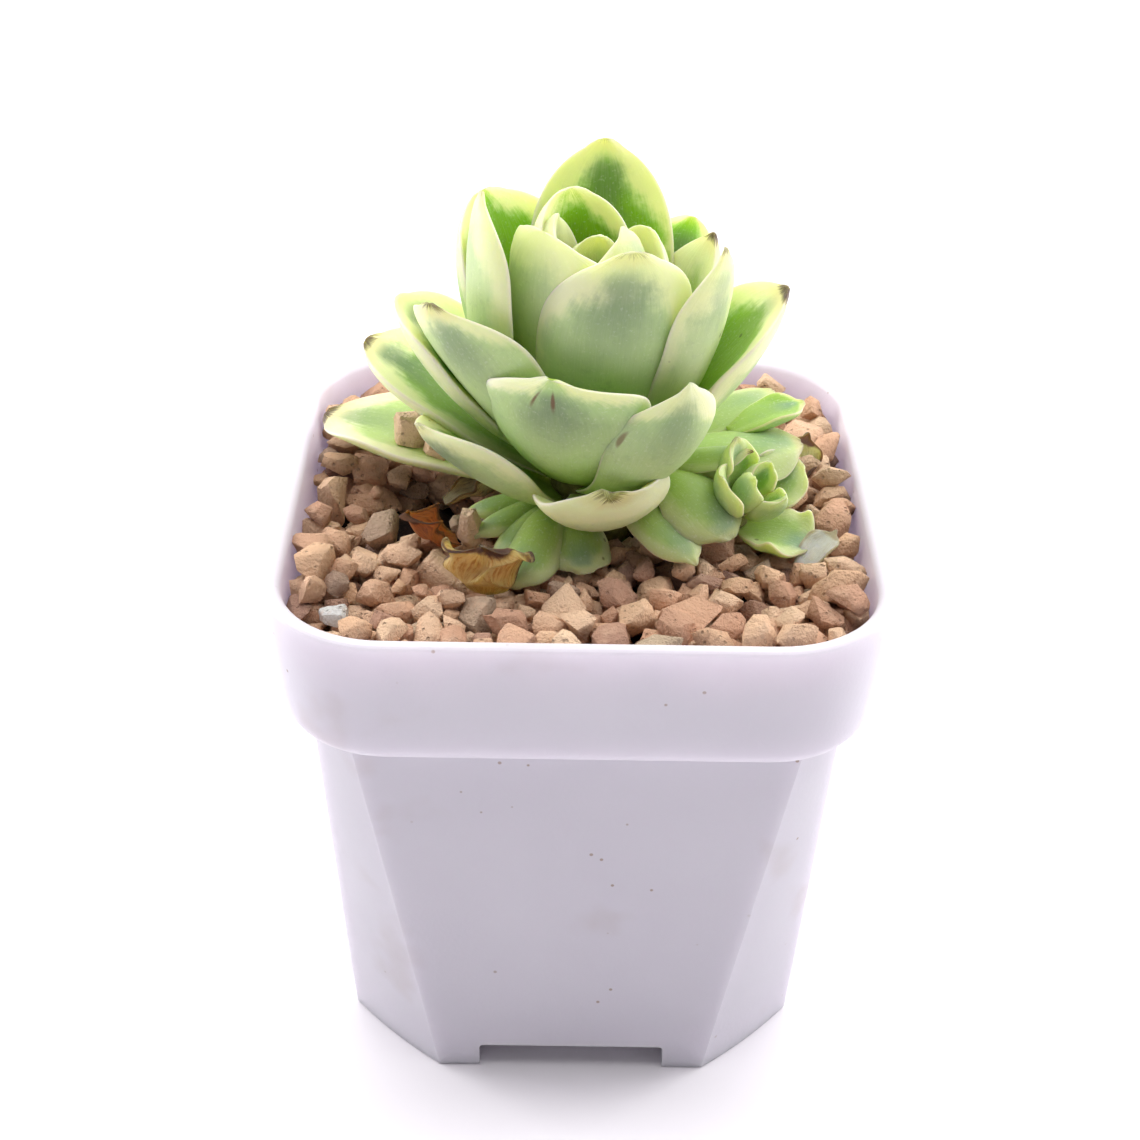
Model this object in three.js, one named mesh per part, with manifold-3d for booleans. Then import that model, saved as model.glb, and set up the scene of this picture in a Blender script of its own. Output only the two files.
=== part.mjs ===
// A small variegated rosette succulent with two offsets, growing in a square plastic pot that is
// topped with clay gravel. Millimetres, +Z up, origin at the centre of the pot's foot.
import * as THREE from "three";
import { mergeVertices } from "three/addons/utils/BufferGeometryUtils.js";
import Module from "manifold-3d";

// ---- Driving dimensions, mm and degrees ----
const CLEARANCE = 0.3; // gap kept between neighbouring pieces
const SLIVER = 0.1; // surface detail smaller than this is smoothed away after a cut
const HAIRLINE = 0.02; // the same after the last cut, well inside the clearance

const POT_HEIGHT = 67;
const RIM_HALF_WIDTH = 35; // across the top of the rim, from the middle to a side
const RIM_CORNER = 14; // corner radius of the rim's top
const RIM_DRAFT = 2.1; // how far the rim leans in on its way down
const RIM_DEPTH = 16.4; // height of the rim band
const RIM_EDGE = 1; // bevel on the rim's edges
const BODY_STEP = 3.2; // how far the rim band stands proud of the body
const BODY_CORNER = 4.5; // corner cut of the body, just under the rim
const FOOT_HALF_WIDTH = 27.2;
const FOOT_CORNER = 11.1; // corner cut of the body at the foot
const WALL = 2;
const FLOOR = 2; // thickness of the pot's floor
const FOOT_RECESS = 3.8; // height of the floor's underside over the ground
const NOTCH_HALF_WIDTH = 11.25; // drain notch in the middle of each side of the foot
const NOTCH_HEIGHT = 3.56;
const DRAIN_RADIUS = 2.4; // holes in the floor
const DRAIN_SPACING = 13; // from the middle hole to each of the four others

const FREEBOARD = 3.5; // from the gravel's mean surface up to the rim's top
const GRAVEL_DEPTH = 5.5;
const GRAVEL_RELIEF = 0.5; // height of the bumps on the gravel bed
const CROWN_RISE = 4.5; // the crown of the plant over the gravel's surface

const STEM_RADIUS = 5;
const STEM_HEIGHT = 16; // from the crown to the stem's tip
const STEM_ROOTED = 16; // from the crown down to the rooted end
const OFFSET_STEM_RADIUS = 1.6;
const OFFSET_STEM_LENGTH = 8;

const LEAF_THICKNESS = 2.6;
const SMALL_LEAF_THICKNESS = 1.7;
const DRY_LEAF_THICKNESS = 0.9;

// ---- Leaves ----
// around: direction of the base from the stem, counterclockwise from +X. out: from the stem's side
// to the base. up: height of the base over the crown. climb: the leaf's slope at its base and its
// tip. cup: how far each half folds up, or down if negative. blunt: how round the tip is, 0 pointed.
// turn: swing about the base. twist: roll from base to tip. lean: how far the tip lies to the left.
const MAIN_LEAVES = [
  {
    name: "heart_leaf_front", around: -25, out: -1.8, up: 15.4, length: 17, width: 13,
    climb: [70, 112], cup: 80, blunt: 0.3,
  },
  {
    name: "heart_leaf_left", around: 165, out: 0.1, up: 15.8, length: 17, width: 11,
    climb: [70, 112], cup: 100, blunt: 0.3,
  },
  {
    name: "heart_leaf_right", around: 75, out: -3.2, up: 13.8, length: 17, width: 12,
    climb: [74, 116], cup: 105, blunt: 0.9,
  },
  {
    name: "back_hood_leaf", around: 127, out: -2.5, up: 9, length: 26, width: 19,
    climb: [58, 106], cup: 90, blunt: 1,
  },
  {
    name: "right_small_leaf", around: 38, out: -2, up: 9, length: 21.5, width: 13,
    climb: [60, 98], cup: 50, blunt: 1.3,
  },
  {
    name: "front_left_bud_leaf", around: -140, out: -2, up: 6.3, length: 27.5, width: 24,
    climb: [62, 98], cup: 65, blunt: 1.4,
  },
  {
    name: "front_centre_leaf", around: -82, out: -1, up: 4.5, length: 29.5, width: 19,
    climb: [58, 98], cup: 50, blunt: 0.8, lean: 2.2,
  },
  {
    name: "back_tall_leaf", around: 87, out: -1.5, up: 6, length: 32.5, width: 18,
    climb: [58, 84], cup: 40, blunt: 0.5,
  },
  {
    name: "left_upright_leaf", around: -170, out: 6.4, up: 8, length: 28.5, width: 15,
    climb: [80, 94], cup: 45, blunt: 0.2,
  },
  {
    name: "back_left_broad_leaf", around: 146, out: 0, up: 5, length: 29.5, width: 23,
    climb: [50, 85], cup: 50, blunt: 1.1,
  },
  {
    name: "back_right_leaf", around: 48, out: -1, up: 4, length: 27, width: 19, climb: [50, 74],
    cup: 45, blunt: 0.7,
  },
  {
    name: "right_middle_leaf", around: 22, out: -1, up: 5, length: 26, width: 14,
    climb: [54, 80], cup: 50, blunt: 0.3,
  },
  {
    name: "right_front_leaf", around: -27, out: 0, up: 5, length: 29.5, width: 13,
    climb: [53, 86], cup: 45, blunt: 0.3,
  },
  {
    name: "front_low_leaf", around: -106, out: 2, up: 3.5, length: 20, width: 21,
    climb: [46, 76], cup: 45, blunt: 0.6,
  },
  {
    name: "left_front_leaf", around: -158, out: 0, up: 4, length: 26, width: 22, climb: [46, 66],
    cup: 40, blunt: 0.4, twist: 22,
  },
  {
    name: "right_broad_leaf", around: 2, out: 0, up: 4, length: 26, width: 19, climb: [42, 60],
    cup: 35, blunt: 0.7,
  },
  {
    name: "right_front_low_leaf", around: -90, out: 1, up: 2.5, length: 23, width: 15,
    climb: [18, 88], cup: 55, blunt: 0.1, turn: 50, twist: -22,
  },
  {
    name: "left_inner_leaf", around: 170, out: 0, up: 3, length: 25.5, width: 17,
    climb: [34, 56], cup: 40, blunt: 0.7,
  },
  {
    name: "left_outer_leaf", around: 165, out: 0, up: 1, length: 26, width: 17, climb: [24, 36],
    cup: 35, blunt: 0.9,
  },
  {
    name: "front_curled_leaf", around: -84, out: 1, up: 1, length: 14, width: 17,
    climb: [-10, 75], cup: 45, blunt: 0.6, twist: 12,
  },
  {
    name: "left_front_low_leaf", around: -140, out: 0, up: -0.8, length: 20.5, width: 17.5,
    climb: [26, 46], cup: 40, blunt: 0.4, turn: -22, twist: 15,
  },
  {
    name: "back_low_leaf", around: 100, out: 0, up: 1, length: 28, width: 17, climb: [25, 42],
    cup: 35, blunt: 0.3,
  },
  {
    name: "back_right_low_leaf", around: 62, out: 0, up: 1, length: 27, width: 16,
    climb: [22, 40], cup: 35, blunt: 0.3,
  },
  {
    name: "back_left_low_leaf", around: 128, out: 0, up: 0, length: 27, width: 16,
    climb: [12, 24], cup: 35, blunt: 0.3,
  },
  {
    name: "left_lying_leaf", around: 157, out: 0, up: -1, length: 30.3, width: 17, climb: [4, 3],
    cup: 30, blunt: 0.5,
  },
];
const SIDE_LEAVES = [
  {
    name: "side_wide_leaf", around: 10, out: 3, up: 1.5, length: 18.5, width: 13,
    climb: [16, -8], cup: -35, blunt: 0.9,
  },
  {
    name: "side_upper_leaf", around: 33, out: 5, up: 1, length: 18, width: 9, climb: [14, 6],
    cup: -30, blunt: 0.7,
  },
  {
    name: "side_tip_leaf", around: 20, out: 14, up: 3, length: 9.5, width: 6, climb: [15, 15],
    cup: 40, blunt: 0.7,
  },
  {
    name: "side_pointed_leaf", around: -10, out: 4, up: 3.5, length: 11, width: 6,
    climb: [15, 10], cup: -40, blunt: 0,
  },
  {
    name: "side_front_leaf", around: -29, out: 5.3, up: 3.5, length: 12, width: 12,
    climb: [15, -60], cup: -50, blunt: 1, turn: -8,
  },
  {
    name: "side_hanging_leaf", around: -50, out: 1, up: 2.2, length: 15, width: 8,
    climb: [4, -36], cup: -45, blunt: 0.3,
  },
];
const RIGHT_OFFSET_LEAVES = [
  {
    name: "offset_heart_leaf_a", around: -30, out: -0.6, up: 2, length: 6, width: 5.5,
    climb: [55, 95], cup: 85, blunt: 0.8,
  },
  {
    name: "offset_heart_leaf_b", around: 100, out: -0.6, up: 2, length: 6, width: 5,
    climb: [55, 95], cup: 85, blunt: 0.8,
  },
  {
    name: "offset_heart_leaf_c", around: -150, out: -0.6, up: 2, length: 6, width: 5,
    climb: [60, 95], cup: 85, blunt: 0.8,
  },
  {
    name: "offset_inner_leaf", around: 150, out: -0.1, up: 1.5, length: 8, width: 7,
    climb: [40, 70], cup: 60, blunt: 0.8,
  },
  {
    name: "offset_left_leaf", around: -150, out: -0.1, up: 1.5, length: 8, width: 7,
    climb: [40, 60], cup: 60, blunt: 0.8,
  },
  {
    name: "offset_right_leaf", around: -25, out: -0.1, up: 0, length: 8.5, width: 10,
    climb: [25, 45], cup: 50, blunt: 1.1,
  },
  {
    name: "offset_back_leaf", around: 60, out: -0.1, up: 0.5, length: 9, width: 8,
    climb: [20, 40], cup: 50, blunt: 0.9,
  },
];
const FRONT_OFFSET_LEAVES = [
  {
    name: "front_offset_leaf_a", around: -169, out: -0.6, up: 0, length: 11, width: 5,
    climb: [4, -18], cup: -50, blunt: 0.3,
  },
  {
    name: "front_offset_leaf_b", around: -148, out: -0.6, up: 0, length: 11.5, width: 5,
    climb: [4, -22], cup: -50, blunt: 0.3,
  },
  {
    name: "front_offset_leaf_c", around: -127, out: -0.1, up: 0, length: 12, width: 5,
    climb: [2, -25], cup: -50, blunt: 0.3,
  },
  {
    name: "front_offset_leaf_d", around: -112, out: 2.4, up: 0.5, length: 12.5, width: 8.5,
    climb: [0, -38], cup: -60, blunt: 0.7,
  },
  {
    name: "front_offset_leaf_e", around: -80, out: 2.4, up: 0, length: 9, width: 8.5,
    climb: [0, -38], cup: -55, blunt: 0.9,
  },
];
// Dead and fallen leaves lie on the gravel, so at: is the place of the base on its surface.
const DRY_LEAVES = [
  {
    name: "dry_cup_leaf", at: [-14, -8.4, 0.6], around: 200, length: 8, width: 8, climb: [0, 75],
    cup: 110, blunt: 0.3,
  },
  {
    name: "dry_papery_leaf", at: [-10.3, -17.5, -0.6], around: -95, length: 8, width: 12.5,
    climb: [55, 85], cup: 70, blunt: 0.3,
  },
  {
    name: "dry_pale_leaf", at: [-16, -0.5, 1.2], around: 15, length: 8, width: 5,
    climb: [10, 40], cup: 90, blunt: 0.3,
  },
  {
    name: "half_buried_leaf", at: [26, 9, -0.6], around: 55, length: 9, width: 7,
    climb: [25, 60], cup: 40, blunt: 0.3,
  },
  {
    name: "fallen_pale_leaf", at: [24, -9.5, 0.2], around: 40, length: 6, width: 5,
    climb: [20, 35], cup: 45, blunt: 0.3,
  },
];
// Loose stones that stand out from the bed. at: centre, from the gravel's surface. half: half sizes.
const STONES = [
  { name: "stone_on_leaf_outer", at: [-20.2, 6.2, 7.3], half: [2.1, 1.8, 2.1], turn: 30 },
  { name: "stone_on_leaf_inner", at: [-17, 3, 6.4], half: [1.6, 1.3, 1.5], turn: -20 },
  { name: "upright_stone", at: [-12.6, -8.6, 2.2], half: [1.3, 1.2, 2.5], turn: 20 },
  { name: "tall_stone", at: [-29.6, 2.4, 0.4], half: [1.8, 2.4, 3], turn: 10 },
  { name: "white_stone", at: [-26.8, -24, 0.3], half: [1.7, 1.3, 1.2], turn: 15 },
  { name: "speckled_stone", at: [-7.4, -25.4, 0.3], half: [2.1, 1.7, 1.7], turn: -35 },
];

// ---- Worked-out levels ----
const GRAVEL_TOP = POT_HEIGHT - FREEBOARD;
const CROWN = GRAVEL_TOP + CROWN_RISE;
const FLOOR_TOP = FOOT_RECESS + FLOOR;
const MIX_TOP = GRAVEL_TOP - GRAVEL_DEPTH;
const RIM_BOTTOM = POT_HEIGHT - RIM_DEPTH;
const RIM_RIDGE = RIM_HALF_WIDTH - RIM_CORNER; // half length of the rim's straight side
const RIM_LOW_HALF_WIDTH = RIM_HALF_WIDTH - RIM_DRAFT;
const BODY_HALF_WIDTH = RIM_LOW_HALF_WIDTH - BODY_STEP;
const BODY_RIDGE = BODY_HALF_WIDTH - BODY_CORNER;
const FOOT_RIDGE = FOOT_HALF_WIDTH - FOOT_CORNER;

const wasm = await Module();
wasm.setup();

// ---- Solids ----

// A closed three.js geometry as a solid that can be cut and joined.
function solidOf(geometry) {
  const bare = geometry.clone();
  bare.deleteAttribute("normal");
  bare.deleteAttribute("uv");
  const merged = mergeVertices(bare, 1e-4);
  return new wasm.Manifold(
    new wasm.Mesh({
      numProp: 3,
      vertProperties: merged.attributes.position.array,
      triVerts: new Uint32Array(merged.index.array),
    }),
  );
}

// A solid back as a geometry.
function geometryOf(solid) {
  const mesh = solid.getMesh();
  const geometry = new THREE.BufferGeometry();
  geometry.setAttribute("position", new THREE.BufferAttribute(new Float32Array(mesh.vertProperties), 3));
  geometry.setIndex(new THREE.BufferAttribute(mesh.triVerts, 1));
  geometry.computeVertexNormals();
  return geometry;
}

// The largest of a solid's separate bodies.
function largestBody(solid) {
  const bodies = solid.decompose();
  return bodies.reduce((best, body) => (body.volume() > best.volume() ? body : best));
}

// What a cut piece keeps: its largest body, without the slivers that cutting leaves.
function tidied(solid) {
  return largestBody(largestBody(solid).simplify(SLIVER));
}

// Room taken by the pieces made so far, each grown by the clearance, in the part's own frame.
const taken = [];

function trimmed(solid) {
  return taken.reduce((left, room) => left.subtract(room), solid);
}

// Moves every vertex of a geometry to where place(x, y, z) puts it.
function reshape(geometry, place) {
  const position = geometry.attributes.position;
  for (let i = 0; i < position.count; i += 1) {
    const point = place(position.getX(i), position.getY(i), position.getZ(i), i);
    position.setXYZ(i, point.x, point.y, point.z);
  }
  return geometry;
}

// Adds a mesh to its group, trimmed clear of all that stands already. make(growth) gives the
// piece's geometry in the mesh's own frame, grown by that much all round.
function addTrimmed(group, mesh, make) {
  group.add(mesh);
  mesh.updateWorldMatrix(true, false);
  const toPart = mesh.matrixWorld;
  const whole = solidOf(make(0).applyMatrix4(toPart));
  const clear = trimmed(tidied(trimmed(whole))); // tidying can bridge a cut, so it is cut again
  const solid = largestBody(largestBody(clear).simplify(HAIRLINE));
  mesh.geometry = geometryOf(solid).applyMatrix4(toPart.clone().invert());
  taken.push(solidOf(make(CLEARANCE).applyMatrix4(toPart)));
}

function makeMesh(name, color, roughness) {
  const material = new THREE.MeshStandardMaterial({ color, roughness, metalness: 0 });
  const mesh = new THREE.Mesh(new THREE.BufferGeometry(), material);
  mesh.name = name;
  return mesh;
}

// ---- Square shapes: a lathe whose rings are drawn out to squares with cut corners ----
const SIDE_STEPS = 2; // along each straight side
const CORNER_STEPS = 4; // round each corner
const ROUND = 1;
const SOFT_CHAMFER = 0.15;

// Point of a cut-cornered square ring, share going once round, counterclockwise from -Y.
// half: middle to side. ridge: half length of the straight side. round: 1 arc, 0 straight cut.
function ringPoint(share, half, ridge, round) {
  const side = Math.floor(share * 4 + 1e-6) % 4;
  const along = share * 4 - Math.floor(share * 4 + 1e-6);
  const straightShare = SIDE_STEPS / (SIDE_STEPS + CORNER_STEPS);
  const point = new THREE.Vector2();
  if (along < straightShare) {
    point.set(ridge * (2 * (along / straightShare) - 1), -half);
  } else {
    const bend = (along - straightShare) / (1 - straightShare);
    const cut = half - ridge;
    const arc = new THREE.Vector2(Math.sin((bend * Math.PI) / 2), -Math.cos((bend * Math.PI) / 2));
    const chamfer = new THREE.Vector2(bend, bend - 1);
    point.set(ridge, -ridge).addScaledVector(chamfer.lerp(arc, round), cut);
  }
  return point.rotateAround(new THREE.Vector2(0, 0), (side * Math.PI) / 2);
}

// A closed square solid from rings { half, ridge, round, z }, from one end on the axis to the other.
// relief(x, y) lifts the rings that have lift: true.
function squareSolid(rings, relief = () => 0) {
  const profile = rings.map((ring) => new THREE.Vector2(ring.half, ring.z));
  const steps = 4 * (SIDE_STEPS + CORNER_STEPS);
  const lathe = new THREE.LatheGeometry(profile, steps);
  return reshape(lathe, (x, y, z, index) => {
    const ring = rings[index % rings.length];
    const share = (Math.floor(index / rings.length) / steps) % 1;
    const point = ringPoint(share, ring.half, ring.ridge, ring.round);
    const lift = ring.lift ? relief(point.x, point.y) : 0;
    return new THREE.Vector3(point.x, point.y, ring.z + lift);
  });
}

function ring(half, ridge, round, z, lift = false) {
  return { half, ridge, round, z, lift };
}

// Half width and ridge of the pot's inner wall at a height, brought in by a gap.
function innerRing(z, gap, lift = false) {
  if (z >= RIM_BOTTOM + WALL) {
    const share = (z - RIM_BOTTOM) / RIM_DEPTH;
    const half = RIM_LOW_HALF_WIDTH + RIM_DRAFT * share - WALL - gap;
    return ring(half, RIM_RIDGE, ROUND, z, lift);
  }
  const share = z / RIM_BOTTOM;
  const half = FOOT_HALF_WIDTH + (BODY_HALF_WIDTH - FOOT_HALF_WIDTH) * share - WALL - gap;
  const ridge = FOOT_RIDGE + (BODY_RIDGE - FOOT_RIDGE) * share;
  return ring(half, ridge, SOFT_CHAMFER, z, lift);
}

// ---- Pot ----
function potGeometry() {
  const rings = [
    ring(0, 0, ROUND, FOOT_RECESS),
    innerRing(FOOT_RECESS, 0),
    innerRing(0, 0),
    ring(FOOT_HALF_WIDTH, FOOT_RIDGE, SOFT_CHAMFER, 0),
    ring(BODY_HALF_WIDTH, BODY_RIDGE, SOFT_CHAMFER, RIM_BOTTOM),
    ring(RIM_LOW_HALF_WIDTH - RIM_EDGE, RIM_RIDGE, ROUND, RIM_BOTTOM),
    ring(RIM_LOW_HALF_WIDTH, RIM_RIDGE, ROUND, RIM_BOTTOM + RIM_EDGE),
    ring(RIM_HALF_WIDTH, RIM_RIDGE, ROUND, POT_HEIGHT - RIM_EDGE / 2),
    ring(RIM_HALF_WIDTH - RIM_EDGE / 2, RIM_RIDGE, ROUND, POT_HEIGHT),
    innerRing(POT_HEIGHT, -RIM_EDGE / 4),
    innerRing(POT_HEIGHT - RIM_EDGE / 2, 0),
    innerRing(RIM_BOTTOM + WALL, 0),
    innerRing(RIM_BOTTOM, 0),
    innerRing(FLOOR_TOP, 0),
    ring(0, 0, ROUND, FLOOR_TOP),
  ];
  let pot = solidOf(squareSolid(rings));
  for (const cutter of [...notchCutters(), ...drainCutters()]) {
    pot = pot.subtract(solidOf(cutter));
  }
  return geometryOf(pot);
}

// Two bars that pass under the whole foot, one each way, open a notch in all four sides.
function notchCutters() {
  const length = 3 * FOOT_HALF_WIDTH;
  const width = 2 * NOTCH_HALF_WIDTH;
  const bars = [
    new THREE.BoxGeometry(length, width, 2 * NOTCH_HEIGHT),
    new THREE.BoxGeometry(width, length, 2 * NOTCH_HEIGHT),
  ];
  return bars;
}

function drainCutters() {
  const places = [
    [0, 0],
    [DRAIN_SPACING, 0],
    [0, DRAIN_SPACING],
    [-DRAIN_SPACING, 0],
    [0, -DRAIN_SPACING],
  ];
  return places.map(([x, y]) => {
    const drill = new THREE.CylinderGeometry(DRAIN_RADIUS, DRAIN_RADIUS, 4 * FLOOR, 12);
    return drill.rotateX(Math.PI / 2).translate(x, y, FOOT_RECESS + FLOOR / 2);
  });
}

function addPot(group) {
  const mesh = makeMesh("pot", 0xe9e6ee, 0.35);
  mesh.geometry = potGeometry();
  group.add(mesh);
  taken.push(solidOf(mesh.geometry));
}

// ---- Stems ----
// A round stem standing along its own Z, from -rooted to height, rounded in at its tip.
function stemGeometry(radius, rooted, height, growth) {
  const tip = height + growth;
  const foot = -rooted - growth;
  const wide = radius + growth;
  const profile = [
    new THREE.Vector2(0, foot),
    new THREE.Vector2(0.7 * wide, foot),
    new THREE.Vector2(wide, -0.4 * rooted),
    new THREE.Vector2(wide, 0.25 * height),
    new THREE.Vector2(0.6 * wide, 0.75 * height),
    new THREE.Vector2(0.3 * wide, tip),
    new THREE.Vector2(0, tip),
  ];
  return new THREE.LatheGeometry(profile, 10).rotateX(Math.PI / 2);
}

// ---- Leaves ----
const NARROW_BASE = 0.4; // width of the base as a share of the widest part
const WIDEST_AT = 0.6; // share of the length
const ARC_STEPS = 60;
const SHORT_LEAF = 12; // leaves up to this length have fewer cross sections

// Half width of a leaf as a share of its widest, s going from base to tip. blunt: 0 pointed, 1 round.
function widthShare(s, blunt) {
  if (s < WIDEST_AT) {
    return NARROW_BASE + (1 - NARROW_BASE) * Math.sin(((s / WIDEST_AT) * Math.PI) / 2) ** 1.3;
  }
  const toTip = (s - WIDEST_AT) / (1 - WIDEST_AT);
  return Math.max(0, 1 - toTip ** (1.9 + 1.1 * blunt)) ** (0.76 - 0.26 * Math.min(blunt, 1));
}

// Thickness as a share of the thickest: thin at the base, full in the middle, thin at the tip.
function thicknessShare(s) {
  const fill = 0.35 + 0.65 * Math.sin((Math.min(s / 0.45, 1) * Math.PI) / 2);
  return fill * Math.max(0, 1 - Math.max(0, (s - 0.5) / 0.5) ** 2.2) ** 0.5;
}

// Middle line of a leaf, in its XZ plane: an arc whose slope goes from climb[0] to climb[1]. It
// starts and ends further out by the growth.
function middleLine(leaf, growth) {
  const line = [];
  const { climb } = leaf;
  const length = leaf.length + 2 * growth;
  let x = -growth * Math.cos(THREE.MathUtils.degToRad(climb[0]));
  let z = -growth * Math.sin(THREE.MathUtils.degToRad(climb[0]));
  for (let step = 0; step <= ARC_STEPS; step += 1) {
    const slope = THREE.MathUtils.degToRad(THREE.MathUtils.lerp(climb[0], climb[1], step / ARC_STEPS));
    line.push({ x, z, slope });
    x += (Math.cos(slope) * length) / ARC_STEPS;
    z += (Math.sin(slope) * length) / ARC_STEPS;
  }
  return line;
}

// A leaf growing along +X from the origin, its inner face up. A sphere's poles become the middle
// of the base and the tip; its rings become the cross sections.
function leafGeometry(leaf, thickness, growth) {
  const rings = leaf.length > SHORT_LEAF ? 8 : 6;
  const sides = 8;
  const half = leaf.width / 2;
  const line = middleLine(leaf, growth);
  const fold = THREE.MathUtils.degToRad(leaf.cup) / half;
  const twist = THREE.MathUtils.degToRad(leaf.twist ?? 0);
  return reshape(new THREE.SphereGeometry(1, sides, rings), (x, y, z) => {
    const fromBase = Math.acos(THREE.MathUtils.clamp(y, -1, 1)) / Math.PI;
    const evenly = Math.max(0, (fromBase - 1 / rings) / (1 - 1 / rings));
    const s = 1 - (1 - evenly) ** 1.6;
    const centre = Math.min(fromBase, 1 - fromBase) < 1e-6 ? 0 : 1; // the poles stay on the middle line
    const angle = Math.atan2(-z, -x);
    const across = centre * (half * widthShare(s, leaf.blunt) + growth) * Math.cos(angle);
    const lift = centre * ((thickness / 2) * thicknessShare(s) + growth) * Math.sin(angle);
    const bend = across * fold;
    const section = new THREE.Vector2(
      Math.sin(bend) / fold - lift * Math.sin(bend),
      (1 - Math.cos(bend)) / fold + lift * Math.cos(bend),
    );
    section.rotateAround(new THREE.Vector2(0, 0), twist * s);
    section.x += (leaf.lean ?? 0) * s * s;
    const middle = line[Math.round(s * ARC_STEPS)];
    return new THREE.Vector3(
      middle.x - section.y * Math.sin(middle.slope),
      section.x,
      middle.z + section.y * Math.cos(middle.slope),
    );
  });
}

function placeLeaf(mesh, leaf, stemRadius) {
  const direction = THREE.MathUtils.degToRad(leaf.around);
  const reach = stemRadius + leaf.out;
  mesh.position.set(reach * Math.cos(direction), reach * Math.sin(direction), leaf.up);
  mesh.rotation.z = direction + THREE.MathUtils.degToRad(leaf.turn ?? 0);
}

function addRosette(group, leaves, stemRadius, thickness, color) {
  for (const leaf of leaves) {
    const mesh = makeMesh(leaf.name, color, 0.5);
    placeLeaf(mesh, leaf, stemRadius);
    addTrimmed(group, mesh, (growth) => leafGeometry(leaf, thickness, growth));
  }
}

function addDryLeaves(group) {
  for (const leaf of DRY_LEAVES) {
    const mesh = makeMesh(leaf.name, 0xa9783f, 0.8);
    mesh.position.set(...leaf.at);
    mesh.rotation.z = THREE.MathUtils.degToRad(leaf.around);
    addTrimmed(group, mesh, (growth) => leafGeometry(leaf, DRY_LEAF_THICKNESS, growth));
  }
}

// ---- Stones, gravel and potting mix ----

// Repeatable unevenness between -1 and 1 at a place.
function unevenness(x, y, z) {
  return Math.sin(2.1 * x + 0.7 * y) * Math.cos(1.7 * y - 1.3 * z) * Math.cos(0.9 * z + 1.1 * x);
}

function stoneGeometry(stone, growth) {
  return reshape(new THREE.IcosahedronGeometry(1, 1), (x, y, z) => {
    const chip = 1 + 0.14 * unevenness(3 * x + stone.turn, 3 * y, 3 * z);
    return new THREE.Vector3(
      x * (stone.half[0] * chip + growth),
      y * (stone.half[1] * chip + growth),
      z * (stone.half[2] * chip + growth),
    );
  });
}

function addStones(group) {
  for (const stone of STONES) {
    const mesh = makeMesh(stone.name, stone.name === "white_stone" ? 0xeeebe4 : 0xc29273, 0.9);
    mesh.position.set(...stone.at);
    mesh.rotation.z = THREE.MathUtils.degToRad(stone.turn);
    addTrimmed(group, mesh, (growth) => stoneGeometry(stone, growth));
  }
}

function gravelGeometry() {
  const top = [0, 0.2, 0.4, 0.6, 0.8, 1].reverse();
  const edge = innerRing(GRAVEL_TOP, CLEARANCE);
  const rings = [
    ring(0, 0, ROUND, MIX_TOP + CLEARANCE),
    innerRing(MIX_TOP + CLEARANCE, CLEARANCE),
    ...top.map((share) => ring(edge.half * share, edge.ridge * share, ROUND, GRAVEL_TOP, true)),
  ];
  return squareSolid(rings, (x, y) => GRAVEL_RELIEF * unevenness(x, y, 0));
}

function addGravel(group) {
  const mesh = makeMesh("gravel_bed", 0xbf9274, 0.95);
  addTrimmed(group, mesh, gravelGeometry);
}

function mixGeometry() {
  const floor = FLOOR_TOP + CLEARANCE;
  const rings = [
    ring(0, 0, ROUND, floor),
    innerRing(floor, CLEARANCE),
    innerRing(RIM_BOTTOM + CLEARANCE, CLEARANCE),
    innerRing(RIM_BOTTOM + WALL + CLEARANCE, CLEARANCE),
    innerRing(MIX_TOP, CLEARANCE),
    ring(0, 0, ROUND, MIX_TOP),
  ];
  return squareSolid(rings);
}

function addPottingMix(group) {
  const mesh = makeMesh("potting_mix", 0x3c2b23, 1);
  addTrimmed(group, mesh, mixGeometry);
}

// ---- Assembly ----
function build() {
  const part = new THREE.Group();
  addPot(part);

  const plant = new THREE.Group();
  plant.position.set(0, 0, CROWN);
  part.add(plant);

  const crown = new THREE.Group();
  crown.position.set(1.5, 0, 0);
  plant.add(crown);
  addTrimmed(crown, makeMesh("main_stem", 0x9a8a5c, 0.8), (growth) =>
    stemGeometry(STEM_RADIUS, STEM_ROOTED, STEM_HEIGHT, growth),
  );

  const rightOffset = new THREE.Group();
  rightOffset.position.set(18, -4.3, -2.4);
  rightOffset.rotation.set(THREE.MathUtils.degToRad(20), THREE.MathUtils.degToRad(30), 0, "YXZ");
  plant.add(rightOffset);
  addTrimmed(rightOffset, makeMesh("right_offset_stem", 0x9aa56a, 0.8), (growth) =>
    stemGeometry(OFFSET_STEM_RADIUS, OFFSET_STEM_LENGTH, 2, growth),
  );

  const frontOffset = new THREE.Group();
  frontOffset.position.set(-1.5, -3, -0.5);
  plant.add(frontOffset);

  addRosette(crown, MAIN_LEAVES, STEM_RADIUS, LEAF_THICKNESS, 0xa9c265);
  addRosette(rightOffset, RIGHT_OFFSET_LEAVES, OFFSET_STEM_RADIUS, SMALL_LEAF_THICKNESS, 0x8fb05c);
  addRosette(plant, SIDE_LEAVES, STEM_RADIUS, SMALL_LEAF_THICKNESS, 0x9dbb62);
  addRosette(frontOffset, FRONT_OFFSET_LEAVES, OFFSET_STEM_RADIUS, SMALL_LEAF_THICKNESS, 0x95b564);

  const topping = new THREE.Group();
  topping.position.set(0, 0, GRAVEL_TOP);
  part.add(topping);
  addDryLeaves(topping);
  addStones(topping);
  addGravel(part);
  addPottingMix(part);
  return part;
}

export default build();
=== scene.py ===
"""A variegated rosette succulent with offsets, in a square plastic pot topped with clay gravel."""
import math
import random

import bmesh
import bpy
import numpy as np
from bmesh.types import BMEdge, BMFace, BMVert
from mathutils import Matrix, Quaternion, Vector, noise


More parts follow.
